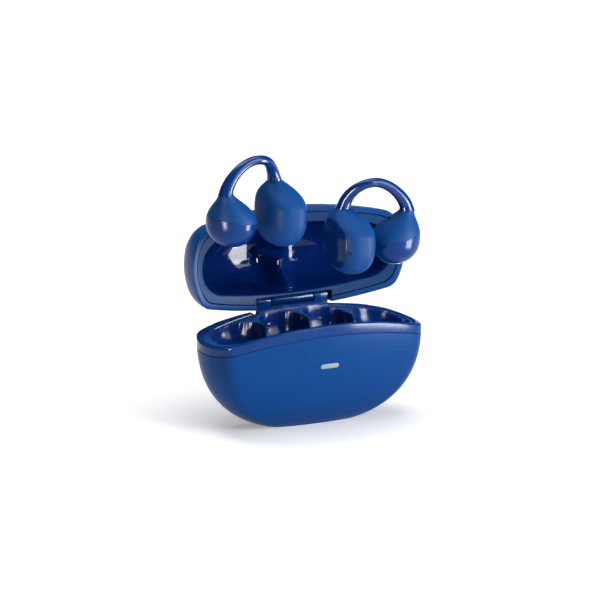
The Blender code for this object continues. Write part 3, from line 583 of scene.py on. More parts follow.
# %% Draw the rim band
BAND_WALL = 1.5
BAND_EDGE = 0.3
BAND_DROP = 0.15
BAND_INNER_EDGE = 0.15
BAND_TOP_SHARE = 0.03
BAND_RINGS = 6
BACK_RELIEF = 0.7
BACK_RELIEF_REACH = 24.0
NOTCH_HALF_WIDTH = 12.3
NOTCH_REACH = 20.0
CASE_NOTCH_Y = 10.8
CASE_NOTCH_FOOT = 29.8


def relieved(ring):
    """The back of a rim dips near the hinge."""
    made = []
    for point in ring:
        share = max(1 - (point.x / BACK_RELIEF_REACH) ** 2, 0.0) if point.y > 0 else 0.0
        made.append(point - Vector((0, 0, BACK_RELIEF * share)))
    return made


def case_notch(foot):
    """The block that makes room for the hinge in a piece of the case, from a height upwards."""
    size = (2 * NOTCH_HALF_WIDTH, NOTCH_REACH, NOTCH_REACH)
    return block(size, (0, CASE_NOTCH_Y + NOTCH_REACH / 2, foot + NOTCH_REACH / 2))


band = [body_ring(share) for share in spread(BAND_SHARE, BAND_TOP_SHARE, BAND_RINGS)]
for inset, fall in edge_steps(BAND_EDGE):
    band.append(relieved(lifted(body_ring(0.0, inset), -BAND_DROP - fall)))
band.append(relieved(lifted(body_ring(0.0, BAND_WALL - BAND_INNER_EDGE), -BAND_DROP)))
band.append(relieved(lifted(body_ring(0.0, BAND_WALL), -BAND_DROP - BAND_INNER_EDGE)))
band.append(body_ring(BAND_SHARE, BAND_WALL))
band = carve(loft(band, ring_closed=True), case_notch(CASE_NOTCH_FOOT))
add_piece("polished_band", band, [BAND_ABS], "case", "rim_band")

# %% [markdown]
# Cradle tray
#
# The tray has a satin flange just inside the band, and below it a plate with four wells: a round one for
# each battery pod and an oval one for each speaker pod. At the back the plate rises into a screen that
# hides the hinge bracket. Cutting wells with Booleans leaves sharp edges, so the tray is drawn as a
# height over the plan instead: at each point it is the lower of the plate and the nearest well, and a
# smooth minimum rounds the edge between them. In front the plate drops away, so that an earbud can leave
# on its slanting way up. Flange and plate are satin, the wells are polished, and each round well has two
# holes in its floor for the charging pins. The satin faces that face up are painted a lighter blue than
# the wells. This is painted light, standing in for the top light that the open lid keeps off the tray.

# %% Draw the tray
FLANGE_GAP = 0.1
TRAY_DROP = 0.6
TRAY_WALL = 1.0
FLANGE_THICKNESS = 1.0
FLANGE_LIP = ((0.15, 0.0), (0.0, 0.15))
BASIN_FOOT = 24.8
PLATE_STEP = 0.3
PLATE_RISE = (-4.0, 0.5)
PLATE_MARGIN = 0.4
FACING_UP = 0.6
BASIN_INSET_X = 3.0
BASIN_INSET_Y = 2.3
BASIN_TAPER = 0.8
BASIN_CUT = 2.6
BASIN_LIP = ((0.06, 0.35), (0.0, 0.1), (-0.12, 0.0))
SCREEN_HALF_WIDTH = 12.1
SCREEN_FRONT = 10.2
SCREEN_STEP = 0.6
SCREEN_BEFORE = 0.3
SCREEN_BEHIND = 0.2
SCREEN_SIDE = 0.6
WELL_CLEARANCE = 0.5
WELL_EDGE = 0.5
WELL_WALL_SLOPE = 8.0
DOCK = Vector((22.4, 1.0, 29.0))
BALL_RADIUS = 7.45
PEBBLE_AT = Vector((15.33, -1.08, 1.2))
PEBBLE_HALF = Vector((6.2, 9.5, 9.5))
PEBBLE_PLAN_POWER = 2.75
PEBBLE_FOOT_POWER = 2.4
FLOOR_START = 0.01
FLOOR_RINGS = 91
UNDERSIDE_STEP = 5
TRAY_FINENESS = 2
BRACKET_SEAT_FOOT = 26.3
PIN_Y = 1.8
PIN_HOLE = 0.8
PIN_HOLE_DEPTH = 5.0
PIN_TOP = 21.7
HOLE_SIDES = 32


def ramp(value, low, high):
    """0 below low, 1 above high, and a smooth rise between."""
    share = min(max((value - low) / (high - low), 0.0), 1.0)
    return share * share * (3 - 2 * share)


def lower_of(first, second, edge):
    """The smaller of two heights, rounded where they cross."""
    return (first + second - math.sqrt((first - second) ** 2 + edge**2)) / 2


def well_heights(x, y):
    """Height of the round and of the oval well at a point; outside a well its wall runs on upwards."""
    x = abs(x)
    reach = BALL_RADIUS + WELL_CLEARANCE
    away = math.hypot(x - DOCK.x, y - DOCK.y) / reach
    ball = DOCK.z - reach * math.sqrt(max(1 - away * away, 0.0))
    ball += WELL_WALL_SLOPE * reach * max(away - 1, 0.0)
    half = PEBBLE_HALF + Vector((WELL_CLEARANCE,) * 3)
    px = abs(x - (DOCK.x - PEBBLE_AT.x)) / half.x
    py = abs(y - (DOCK.y + PEBBLE_AT.y)) / half.y
    away = (px**PEBBLE_PLAN_POWER + py**PEBBLE_PLAN_POWER) ** (1 / PEBBLE_PLAN_POWER)
    foot = max(1 - away**PEBBLE_FOOT_POWER, 0.0) ** (1 / PEBBLE_FOOT_POWER)
    oval = DOCK.z + PEBBLE_AT.z - half.z * foot
    oval += WELL_WALL_SLOPE * half.x * max(away - 1, 0.0)
    return ball, oval


def floor_point(x, y):
    """The top of the tray inside its flange: the plate, the screen behind it, and the wells."""
    level = RIM_HEIGHT - arch(x) - TRAY_DROP
    plate = BASIN_FOOT + (level - PLATE_STEP - BASIN_FOOT) * ramp(y, *PLATE_RISE)
    screen = ramp(y, SCREEN_FRONT - SCREEN_BEFORE, SCREEN_FRONT + SCREEN_BEHIND)
    screen *= ramp(SCREEN_HALF_WIDTH - abs(x), 0.0, SCREEN_SIDE)
    height = plate + (level + SCREEN_STEP - plate) * screen
    for well in well_heights(x, y):
        height = lower_of(height, well, WELL_EDGE)
    return Vector((x, y, height))


def tray_ring(inset_x, inset_y, drop, cut):
    """A ring that follows the rim, some way below the top of the flange."""
    return rim_ring(inset_x, inset_y, -TRAY_DROP - drop, cut, fine=TRAY_FINENESS)


foot_x = BASIN_INSET_X + BASIN_TAPER
foot_y = BASIN_INSET_Y + BASIN_TAPER
basin_foot = plan_loop(foot_x, foot_y, BASIN_CUT, fine=TRAY_FINENESS)
flange_inset = BAND_WALL + FLANGE_GAP
top_rings = []
for share in spread(FLOOR_START, 1, FLOOR_RINGS):
    top_rings.append([floor_point(x * share, y * share) for x, y in basin_foot])
for inset, drop in BASIN_LIP:
    top_rings.append(tray_ring(BASIN_INSET_X + inset, BASIN_INSET_Y + inset, drop, BASIN_CUT))
for inset, drop in FLANGE_LIP:
    top_rings.append(tray_ring(flange_inset + inset, flange_inset + inset, drop, CORNER_CUT))
under_rings = [tray_ring(flange_inset, flange_inset, FLANGE_THICKNESS, CORNER_CUT)]
under_rings += [lifted(ring, -TRAY_WALL) for ring in reversed(top_rings[:FLOOR_RINGS:UNDERSIDE_STEP])]
tray = carve(loft(top_rings + under_rings), case_notch(BRACKET_SEAT_FOOT))
for end_y in (DOCK.y - PIN_Y, DOCK.y + PIN_Y):
    for side_x in (-DOCK.x, DOCK.x):
        tray = carve(tray, rod(PIN_HOLE, PIN_HOLE_DEPTH, (side_x, end_y, PIN_TOP), (0, 0, 1), HOLE_SIDES))
# Up-facing satin faces near the top take the lighter plate colour, which is painted light.
for face in tray.faces:
    middle = face.calc_center_median()
    on_plate = middle.z > RIM_HEIGHT - arch(middle.x) - TRAY_DROP - PLATE_STEP - PLATE_MARGIN
    face.material_index = 1 if on_plate and face.normal.z > FACING_UP else 0
add_piece("tray", tray, [TRAY_ABS, PAINTED_LIGHT_PLATE_ABS], "case", "cradle_tray")

# %% [markdown]
# Lid, drawn shut
#
# The lid is a second bowed dome. It is drawn shut, where its sections are level, and then turned open
# about the hinge by the angle that the frame's joint gives, because the frame is at rest with the lid
# open.

# %% Turn from shut to open
HINGE = Vector(JOINTS["lid_hinge"]["pos_m"]) / MM
LID_OPEN = math.radians(JOINTS["lid_hinge"]["range_deg"][0])
OPENING = Matrix.Translation(HINGE) @ Matrix.Rotation(LID_OPEN, 4, "X") @ Matrix.Translation(-HINGE)
LID_CROWN = 20.5
LID_POWER_X = 2.35
LID_POWER_Y = 2.75
LID_CUT = 2.1
LID_SOFTENING = 6.0
LID_WALL = 1.4
LID_GAP = 0.15
LID_EDGE = 0.35
LID_NOTCH_Y = 10.7
LID_NOTCH_TOP = 36.0
LID_NOTCH_REACH = 30.0
LID_RINGS = 40
LID_OUTSIDE = (0.035, 0.998)
LID_INSIDE = (0.03, 0.985)


def lid_ring(share, inset, drop, cut=LID_CUT, bow=SIDE_BOW, power_x=LID_POWER_X):
    """The outline of the shut lid at a share of its height, drawn in by an inset."""
    return dome_ring(share, inset, LID_CROWN - drop, power_x, LID_POWER_Y, cut, LID_SOFTENING, bow)


def lid_notch():
    """The block that makes room for the hinge in a piece of the lid."""
    size = (2 * NOTCH_HALF_WIDTH, NOTCH_REACH, LID_NOTCH_REACH)
    return block(size, (0, LID_NOTCH_Y + NOTCH_REACH / 2, LID_NOTCH_TOP - LID_NOTCH_REACH / 2))


lid_outside = [lid_ring(share, 0.0, 0.0) for share in eased(LID_RINGS, *LID_OUTSIDE)]
lid_rim = [lifted(lid_ring(0.0, LID_WALL, 0.0), LID_GAP)]
for inset, rise in reversed(edge_steps(LID_EDGE)):
    lid_rim.append(lifted(lid_ring(0.0, inset, 0.0), LID_GAP + rise))
lid_inside = [lid_ring(share, LID_WALL, LID_WALL) for share in eased(LID_RINGS // 2, *LID_INSIDE)]
lid = carve(loft(lid_inside[::-1] + lid_rim + lid_outside), lid_notch())
lid.transform(OPENING)
add_piece("lid_shell", lid, [CASE_ABS], "lid", "lid_outer_shell")

# %% [markdown]
# Lid liner
#
# Inside the lid a satin flange surrounds a mirror-like recess. Two shallow lobes with a soft ridge
# between them make room for the two bridges, and the ridge is what catches the lamps as upright bright
# bars.

# %% Draw the liner
LINER_GAP = 0.18
LINER_LIFT = 0.35
LINER_FLANGE = 1.0
LINER_WALL = 0.5
LINER_SEAT = 0.25
LINER_LIP = ((0.15, 0.0), (0.0, 0.15), (0.2, LINER_FLANGE))
FLANGE_MARGIN = 0.25
RECESS_INSET = 3.6
RECESS_BOW = 2.67
RECESS_POWER_X = 2.57
LINER_BACK_POWER_X = 2.47
RECESS_CUT = 3.2
RECESS_EDGE = 0.3
RECESS_SPAN = (0.05, 0.995)
LINER_BACK_SPAN = (0.1, 0.99)
RIDGE_HEIGHT = 7.0
RIDGE_X = 1.5
RIDGE_HALF_WIDTH = 3.2
RIDGE_RISE = (0.2, 0.75)

recess_drop = LID_WALL + LINER_SEAT + LINER_WALL


def recess_ring(share, inset, drop, power_x):
    """The outline of the recess, which has flatter sides than the lid round it."""
    return lid_ring(share, inset, drop, RECESS_CUT, RECESS_BOW, power_x)


def ridged(ring, share):
    """The recess with a soft upright ridge between its two lobes."""
    made = []
    for point in ring:
        away = (point.x - RIDGE_X) / RIDGE_HALF_WIDTH
        height = RIDGE_HEIGHT * math.exp(-away * away) * ramp(share, *RIDGE_RISE)
        made.append(point - Vector((0, 0, height)))
    return made


recess = []
for share in eased(LID_RINGS, *RECESS_SPAN):
    recess.append(ridged(recess_ring(share, RECESS_INSET, recess_drop, RECESS_POWER_X), share))
flange = []
for step_in, rise in edge_steps(RECESS_EDGE):
    inset = RECESS_INSET - step_in
    flange.append(rim_ring(inset, inset, LINER_LIFT + rise, RECESS_CUT, RECESS_BOW))
for step_in, rise in LINER_LIP:
    inset = LID_WALL + LINER_GAP + step_in
    flange.append(rim_ring(inset, inset, LINER_LIFT + rise, LID_CUT))
back_inset = RECESS_INSET - LINER_WALL
back_drop = recess_drop - LINER_WALL
flange.append(rim_ring(back_inset, back_inset, LINER_LIFT + LINER_FLANGE, RECESS_CUT, RECESS_BOW))
liner_back = []
for share in eased(LID_RINGS // 2, *LINER_BACK_SPAN):
    liner_back.append(recess_ring(share, back_inset, back_drop, LINER_BACK_POWER_X))
liner = carve(loft(recess[::-1] + flange + liner_back), lid_notch())
for face in liner.faces:
    middle = face.calc_center_median()
    face.material_index = 1 if middle.z < RIM_HEIGHT - arch(middle.x) + LINER_LIFT + FLANGE_MARGIN else 0
liner.transform(OPENING)
add_piece("lid_lining", liner, [INNER_ABS, FLANGE_ABS], "lid", "lid_liner")

# %% [markdown]
# Hinge
#
# Three knuckles share one steel pin: two stand on a bracket at the back of the case, and the middle one
# carries the lid's arm. The knuckles are short rods added to plates, and a bevel rounds every edge the
# way a moulding does.

# %% Draw the hinge
KNUCKLE_RADIUS = 1.25
PIN_BORE = 0.7
PIN_BORE_LENGTH = 60.0
HINGE_PIN_RADIUS = 0.5
WEB_OVERLAP = 1.0
ARM_HALF_WIDTH = 6.7
ARM_THICKNESS = 0.8
ARM_LENGTH = 5.2
ARM_LEAN = math.radians(12)
bracket_low, bracket_high = (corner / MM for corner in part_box("hinge_bracket"))
BRACKET_INNER = 7.1
BRACKET_FRONT = bracket_low.y
BRACKET_BACK = 12.2
BRACKET_TOP = 32.55
bracket_depth = BRACKET_BACK - BRACKET_FRONT
bracket_y = (BRACKET_BACK + BRACKET_FRONT) / 2
bracket_size = (bracket_high.x - bracket_low.x, bracket_depth, BRACKET_TOP - bracket_low.z)
bracket = block(bracket_size, (0, bracket_y, (BRACKET_TOP + bracket_low.z) / 2))
knuckle_width = bracket_high.x - BRACKET_INNER
for side in (-1, 1):
    middle_x = side * (bracket_high.x + BRACKET_INNER) / 2
    web_size = (knuckle_width, bracket_depth, HINGE.z - BRACKET_TOP + WEB_OVERLAP)
    web = block(web_size, (middle_x, bracket_y, (HINGE.z + BRACKET_TOP - WEB_OVERLAP) / 2))
    bracket = carve(bracket, web, "UNION")
    knuckle = rod(KNUCKLE_RADIUS, knuckle_width, (middle_x, HINGE.y, HINGE.z), (1, 0, 0))
    bracket = carve(bracket, knuckle, "UNION")
bracket = carve(bracket, rod(PIN_BORE, PIN_BORE_LENGTH, HINGE, (1, 0, 0)))
add_piece("hinge_knuckles", bracket, [BAND_ABS], "case", "hinge_bracket", bevel=0.15)

arm = rod(KNUCKLE_RADIUS, 2 * ARM_HALF_WIDTH, HINGE, (1, 0, 0))
lean = Matrix.Translation(HINGE) @ Matrix.Rotation(ARM_LEAN, 4, "X")
arm_plate = block((2 * ARM_HALF_WIDTH, ARM_THICKNESS, ARM_LENGTH), (0, 0, ARM_LENGTH / 2))
arm_plate.transform(lean)
arm = carve(arm, arm_plate, "UNION")
arm = carve(arm, rod(PIN_BORE, PIN_BORE_LENGTH, HINGE, (1, 0, 0)))
arm.transform(OPENING)
add_piece("hinge_arm", arm, [BAND_ABS], "lid", "lid_hinge_arm", bevel=0.15)
hinge_pin = rod(HINGE_PIN_RADIUS, bracket_size[0], HINGE, (1, 0, 0))
add_piece("hinge_rod", hinge_pin, [STEEL], "case", "hinge_pin", bevel=0.1)

# %% [markdown]
# Where the earbuds are
#
# The flex joint of each earbud sits at the top of its bridge, so the frame tells where the middle of its
# battery pod is. Both earbuds are drawn from one description round that middle, with +X towards the
# speaker pod, and the right one is its mirror image.

# %% Places of the earbuds
BRIDGE_TOP = Vector((7.68, -1.42, 17.89))
BUDS = {}
for bud_name, bud_sign in (("left", 1), ("right", -1)):
    joint_at = Vector(JOINTS[bud_name + "_bridge_flex"]["pos_m"]) / MM
    BUDS[bud_name] = (bud_sign, joint_at - Vector((bud_sign * BRIDGE_TOP.x, BRIDGE_TOP.y, BRIDGE_TOP.z)))
    print(bud_name, "battery pod at", [round(v, 2) for v in BUDS[bud_name][1]])


def placed(bm, sign, at):
    """A shape drawn for the left earbud, mirrored for the right one, and moved to its place."""
    bm.transform(Matrix.Diagonal((sign, 1, 1, 1)))
    bm.transform(Matrix.Translation(at))
    return bm


SEAM_EDGE = 0.035


def halve(bm, point, normal, edge=SEAM_EDGE):
    """What lies behind a plane, closed there, with the small rounded edge that a moulding has at a seam."""
    geometry = bm.verts[:] + bm.edges[:] + bm.faces[:]
    bmesh.ops.bisect_plane(bm, geom=geometry, dist=1e-6, plane_co=point, plane_no=normal, clear_outer=True)
    seam = [line for line in bm.edges if line.is_boundary]
    bmesh.ops.edgeloop_fill(bm, edges=seam)
    if edge:
        bmesh.ops.bevel(bm, geom=seam, offset=edge, segments=2, affect="EDGES", profile=0.5)
    bmesh.ops.recalc_face_normals(bm, faces=bm.faces)
    return bm


# %% [markdown]
# Battery pod
#
# The lower half is a polished cap and the upper half a soft-touch shell that is drawn out into a leaning
# neck. Both come from one stack of round sections, cut at a tilted seam, and the same shape drawn smaller
# hollows them out. Gold contacts sit in the foot, and a slot with a fine mesh lets the pod breathe. The
# shell keeps a plain edge at the seam, because the Boolean fails on it once that edge is rounded.

# %% Draw the battery pods
POD_SIDES = 128
POD_RINGS = 32
POD_FOOT_TURN = math.radians(-89)
NECK_HEIGHT = 8.8
NECK_RADIUS = 2.3
NECK_SHIFT = Vector((-2.85, -2.25, 0))
NECK_POWER = 2.0
NECK_FLARE = 1.5
NECK_LEAN_START = 0.5
NECK_LEAN_POWER = 1.7
NECK_BORE = 1.1
NECK_BORE_LENGTH = 3.0
NECK_BORE_DROP = 0.5
POD_WALL = 1.0
CAP_SEAM_Z = 0.9
CAP_SEAM_SLOPE = -0.206
SEAM_GAP = 0.02
CONTACT_RADIUS = 0.8
CONTACT_GAP = 0.1
CONTACT_HOLE_DEPTH = 3.0
CONTACT_Y = 1.8
CONTACT_FOOT = -7.05


def circle(middle, radius):
    """A level ring round a point."""
    turns = [2 * math.pi * step / POD_SIDES for step in range(POD_SIDES)]
    return [middle + Vector((radius * math.cos(turn), radius * math.sin(turn), 0)) for turn in turns]


def ball_section(height):
    """Middle and radius of a level section of the battery pod's upper half."""
    share = height / NECK_HEIGHT
    radius = NECK_RADIUS + (BALL_RADIUS - NECK_RADIUS) * max(1 - share**NECK_POWER, 0.0) ** NECK_FLARE
    lean = ((height + NECK_LEAN_START) / (NECK_HEIGHT + NECK_LEAN_START)) ** NECK_LEAN_POWER
    return NECK_SHIFT * lean + Vector((0, 0, height)), radius


def ball_shape():
    """The battery pod in one piece: half a ball below, and sections up to the neck above."""
    rings = []
    for turn in spread(POD_FOOT_TURN, 0, POD_RINGS)[:-1]:
        rings.append(circle(Vector((0, 0, BALL_RADIUS * math.sin(turn))), BALL_RADIUS * math.cos(turn)))
    rings += [circle(*ball_section(height)) for height in spread(0, NECK_HEIGHT, POD_RINGS)]
    return loft(rings)


def ball_cavity():
    """The hollow of the battery pod: its own shape drawn smaller, with a bore up through the neck."""
    hollow = ball_shape()
    hollow.transform(Matrix.Scale(1 - POD_WALL / BALL_RADIUS, 4))
    neck = NECK_SHIFT + Vector((0, 0, NECK_HEIGHT - NECK_BORE_DROP))
    return carve(hollow, rod(NECK_BORE, NECK_BORE_LENGTH, neck, (0, 0, 1)), "UNION")


seam_normal = Vector((-CAP_SEAM_SLOPE, 0, 1)).normalized()
seam_point = Vector((0, 0, CAP_SEAM_Z))
VENT_HEIGHT = 6.2
VENT_TURN = math.radians(20)
VENT_LEAN = math.radians(-45)
VENT_INSET = 0.5
VENT_SLOT = (6.0, 2.7, 0.75)
VENT_SLOT_OUT = 2.3
VENT_MESH = (0.4, 2.5, 0.6)
VENT_MESH_IN = 0.45
vent_middle, vent_radius = ball_section(VENT_HEIGHT)
vent_place = (
    Matrix.Translation(vent_middle)
    @ Matrix.Rotation(VENT_TURN, 4, "Z")
    @ Matrix.Translation((vent_radius - VENT_INSET, 0, 0))
    @ Matrix.Rotation(VENT_LEAN, 4, "Y")
)
slot_place = vent_place @ Matrix.Translation((VENT_SLOT_OUT, 0, 0))
mesh_place = vent_place @ Matrix.Translation((-VENT_MESH_IN, 0, 0))
for bud_name, (bud_sign, bud_at) in BUDS.items():
    body = bud_name + "_battery_pod"
    upper = halve(ball_shape(), seam_point + seam_normal * SEAM_GAP / 2, -seam_normal, edge=0.0)
    upper = carve(upper, ball_cavity())
    upper = carve(upper, block(VENT_SLOT, (0, 0, 0), slot_place))
    upper = placed(upper, bud_sign, bud_at)
    add_piece(bud_name + "_pod_shell", upper, [POD_ABS], body, bud_name + "_battery_pod_shell")
    grille = placed(block(VENT_MESH, (0, 0, 0), mesh_place), bud_sign, bud_at)
    add_piece(bud_name + "_vent_grille", grille, [WEAVE], body, bud_name + "_vent_mesh", bevel=0.05)
    cap = halve(ball_shape(), seam_point - seam_normal * SEAM_GAP / 2, seam_normal)
    cap = carve(cap, ball_cavity())
    for end_y in (-CONTACT_Y, CONTACT_Y):
        contact_at = (0, end_y, CONTACT_FOOT)
        cap = carve(cap, rod(CONTACT_RADIUS + CONTACT_GAP, CONTACT_HOLE_DEPTH, contact_at, (0, 0, 1)))
    cap = placed(cap, bud_sign, bud_at)
    add_piece(bud_name + "_pod_cap", cap, [CAP_ABS], body, bud_name + "_battery_pod_cap")

# %% [markdown]
# Speaker pod
#
# A pebble in three mouldings: a soft-touch cover on the ear side, a soft-touch body with the neck, and a
# polished faceplate on the outer side. One stack of rounded ovals is cut twice and hollowed out in the
# same way, and a small port with a mesh is drilled for the microphone.

# %% Draw the speaker pods
PEBBLE_NECK_HEIGHT = 9.0
PEBBLE_NECK_RADIUS = 2.2
PEBBLE_NECK_SHIFT = 4.0
PEBBLE_SHOULDER = 3.5
PEBBLE_FLARE = 1.2
PEBBLE_LEAN_START = 2.5
PEBBLE_LEAN_POWER = 1.8
PEBBLE_RINGS = 56
PEBBLE_FOOT_END = 0.9995
COVER_SEAM_X = -1.34
FACEPLATE_X = 4.6
MIC_AT = Vector((3.8, -8.0, -1.5))
MIC_AIM = Vector((0.50, -0.85, -0.10)).normalized()
MIC_HOLE = 0.6
MIC_HOLE_DEPTH = 8.0


def superellipse(half_x, half_y, power):
    """An oval whose corners fill out as its power rises above 2."""
    outline = []
    for step in range(POD_SIDES):
        turn = 2 * math.pi * step / POD_SIDES
        c = math.cos(turn)
        s = math.sin(turn)
        size = (abs(c) ** power + abs(s) ** power) ** (-1 / power)
        outline.append((half_x * c * size, half_y * s * size))
    return outline


def pebble_ring(height):
    """One level section of the speaker pod, from its oval foot up into the neck at its back."""
    power = PEBBLE_PLAN_POWER
    shift = 0.0
    if height < 0:
        narrow = (1 - (-height / PEBBLE_HALF.z) ** PEBBLE_FOOT_POWER) ** (1 / PEBBLE_FOOT_POWER)
        half_x = PEBBLE_HALF.x * narrow
        half_y = PEBBLE_HALF.y * narrow
    else:
        wide = max(1 - (height / PEBBLE_NECK_HEIGHT) ** PEBBLE_SHOULDER, 0.0) ** PEBBLE_FLARE
        half_x = PEBBLE_NECK_RADIUS + (PEBBLE_HALF.x - PEBBLE_NECK_RADIUS) * wide
        half_y = PEBBLE_NECK_RADIUS + (PEBBLE_HALF.y - PEBBLE_NECK_RADIUS) * wide
        power = 2 + (PEBBLE_PLAN_POWER - 2) * wide
        lean = max(height - PEBBLE_LEAN_START, 0.0) / (PEBBLE_NECK_HEIGHT - PEBBLE_LEAN_START)
        shift = PEBBLE_NECK_SHIFT * lean**PEBBLE_LEAN_POWER
    return [PEBBLE_AT + Vector((x, y + shift, height)) for x, y in superellipse(half_x, half_y, power)]


def pebble_shape():
    """The speaker pod in one piece."""
    below = eased(PEBBLE_RINGS, 0.0, PEBBLE_FOOT_END)
    rings = [pebble_ring(-PEBBLE_HALF.z * share) for share in reversed(below)]
    rings += [pebble_ring(PEBBLE_NECK_HEIGHT * share) for share in spread(0, 1, PEBBLE_RINGS)[1:]]
    return loft(rings)


def pebble_cavity():
    """The hollow of the speaker pod, made in the same way."""
    hollow = pebble_shape()
    shrink = Matrix.Diagonal([1 - POD_WALL / half for half in PEBBLE_HALF] + [1])
    place = Matrix.Translation(PEBBLE_AT)
    hollow.transform(place @ shrink @ place.inverted())
    neck = PEBBLE_AT + Vector((0, PEBBLE_NECK_SHIFT, PEBBLE_NECK_HEIGHT - NECK_BORE_DROP))
    return carve(hollow, rod(NECK_BORE, NECK_BORE_LENGTH, neck, (0, 0, 1)), "UNION")


along = Vector((1, 0, 0))
for bud_name, (bud_sign, bud_at) in BUDS.items():
    body = bud_name + "_speaker_pod"
    cover_seam = PEBBLE_AT + along * COVER_SEAM_X
    face_seam = PEBBLE_AT + along * FACEPLATE_X
    cover = halve(pebble_shape(), cover_seam - along * SEAM_GAP / 2, along)
    cover = placed(carve(cover, pebble_cavity()), bud_sign, bud_at)
    add_piece(bud_name + "_ear_cover", cover, [POD_ABS], body, bud_name + "_ear_side_cover")
    shell = halve(pebble_shape(), cover_seam + along * SEAM_GAP / 2, -along)
    shell = halve(shell, face_seam - along * SEAM_GAP / 2, along)
    shell = carve(shell, pebble_cavity())
    shell = carve(shell, rod(MIC_HOLE, MIC_HOLE_DEPTH, PEBBLE_AT + MIC_AT, MIC_AIM, HOLE_SIDES))
    shell = placed(shell, bud_sign, bud_at)
    add_piece(bud_name + "_pebble_shell", shell, [POD_ABS], body, bud_name + "_speaker_pod_shell")
    face = halve(pebble_shape(), face_seam + along * SEAM_GAP / 2, -along)
    face = placed(carve(face, pebble_cavity()), bud_sign, bud_at)
    add_piece(bud_name + "_outer_face", face, [FACE_ABS], body, bud_name + "_faceplate")

# %% [markdown]
# Bridge
#
# The bridge is a springy wire in a glossy silicone sleeve that swells into both necks. Its middle line is
# two smooth curves that meet at the top of the arch. Because it bends when the clip opens, it is not
# carried by one of the pods: it is left on no body.

# %% Draw the bridges
BRIDGE_START = Vector((-3.57, -2.25, 6.05))
BRIDGE_RISE = Vector((0.38, -0.06, 6.87))
BRIDGE_INTO_TOP = 4.63
BRIDGE_FROM_TOP = 4.15
BRIDGE_END = Vector((15.35, 2.8, 9.74))
BRIDGE_FALL = Vector((-0.92, 0.18, 4.89))
BRIDGE_RADII = (2.32, 1.36, 2.16)
BRIDGE_SIDES = 36
BRIDGE_RINGS = 120
SLEEVE_SPAN = (0.11, 0.93)
SLEEVE_BORE = 0.8
WIRE_SPAN = (0.02, 0.995)
WIRE_RADIUS = 0.4
NECK_GAP = 0.03


def bridge_point(share):
    """A point on the middle line of the bridge, from the battery pod (0) to the speaker pod (1)."""
    if share < 0.5:
        t = 2 * share
        a, b = BRIDGE_START, BRIDGE_START + BRIDGE_RISE
        c, d = BRIDGE_TOP - along * BRIDGE_INTO_TOP, BRIDGE_TOP
    else:
        t = 2 * share - 1
        a, b = BRIDGE_TOP, BRIDGE_TOP + along * BRIDGE_FROM_TOP
        c, d = BRIDGE_END + BRIDGE_FALL, BRIDGE_END
    s = 1 - t
    return s**3 * a + 3 * s * s * t * b + 3 * s * t * t * c + t**3 * d


def bridge_radius(share):
    """The sleeve is thinnest at the middle of the bridge and swells towards both ends."""
    start, middle, end = BRIDGE_RADII
    pull = 2 * middle - (start + end) / 2
    return start * (1 - share) ** 2 + 2 * pull * share * (1 - share) + end * share**2


def bridge_ring(share, radius):
    """A ring square to the middle line."""
    step = 0.005
    forward = (bridge_point(share + step) - bridge_point(share - step)).normalized()
    across = forward.cross(Vector((0, 1, 0))).normalized()
    other = forward.cross(across)
    turns = [2 * math.pi * index / BRIDGE_SIDES for index in range(BRIDGE_SIDES)]
    return [bridge_point(share) + radius * (math.cos(t) * across + math.sin(t) * other) for t in turns]


def neck_ring(share, neck, radius):
    """A level ring on a pod's neck, its points in step with the bridge ring at share."""
    ring = []
    for point in bridge_ring(share, radius):
        out = point - bridge_point(share)
        out.z = 0.0
        ring.append(neck + radius * out.normalized())
    return ring


def sleeve_rings(bore):
    """Rings from neck to neck: the bore of the sleeve, or its outside."""
    low, high = SLEEVE_SPAN
    ball_neck = NECK_SHIFT + Vector((0, 0, NECK_HEIGHT + NECK_GAP))
    pebble_neck = PEBBLE_AT + Vector((0, PEBBLE_NECK_SHIFT, PEBBLE_NECK_HEIGHT + NECK_GAP))
    rings = [neck_ring(low, ball_neck, SLEEVE_BORE if bore else NECK_RADIUS)]
    for share in spread(low, high, BRIDGE_RINGS):
        rings.append(bridge_ring(share, SLEEVE_BORE if bore else bridge_radius(share)))
    rings.append(neck_ring(high, pebble_neck, SLEEVE_BORE if bore else PEBBLE_NECK_RADIUS))
    return rings


for bud_name, (bud_sign, bud_at) in BUDS.items():
    sleeve = loft(sleeve_rings(False) + sleeve_rings(True)[::-1], ring_closed=True)
    sleeve = placed(sleeve, bud_sign, bud_at)
    node = bud_name + "_bridge_sleeve"
    sleeve = add_piece(bud_name + "_sleeve", sleeve, [SLEEVE_SILICONE], None, node)
    wire = [bridge_ring(share, WIRE_RADIUS) for share in spread(*WIRE_SPAN, BRIDGE_RINGS)]
    wire = placed(loft(wire), bud_sign, bud_at)
    wire = add_piece(bud_name + "_wire", wire, [STEEL], None, bud_name + "_bridge_wire")
    for piece in (sleeve, wire):
        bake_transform(piece)

# %% [markdown]
# Solids that stay as they are
#
# Pins, contacts, the microphones' meshes and what is sealed inside keep their own solids, which are
# already the right shape, and get a finish each.

# %% Finishes of the solids that stay
KEPT = {
    "case_battery": FOIL,
    "case_main_board": BOARD,
    "case_closure_magnet": STEEL,
    "lid_closure_magnet": STEEL,
}
for bud_name in BUDS:
    KEPT[bud_name + "_holding_magnet"] = STEEL
    KEPT[bud_name + "_bud_battery"] = FOIL
    KEPT[bud_name + "_bud_board"] = BOARD
    KEPT[bud_name + "_speaker_driver"] = STEEL
    KEPT[bud_name + "_microphone_mesh"] = WEAVE
    for end in ("front", "rear"):
        KEPT[f"{bud_name}_charging_contact_{end}"] = GOLD
        KEPT[f"{bud_name}_charging_pin_{end}"] = GOLD
for node_name, finish in KEPT.items():
    mesh = frame["nodes"][node_name].data
    mesh.materials.clear()
    mesh.materials.append(finish)
print(len(KEPT), "solids keep their shape")

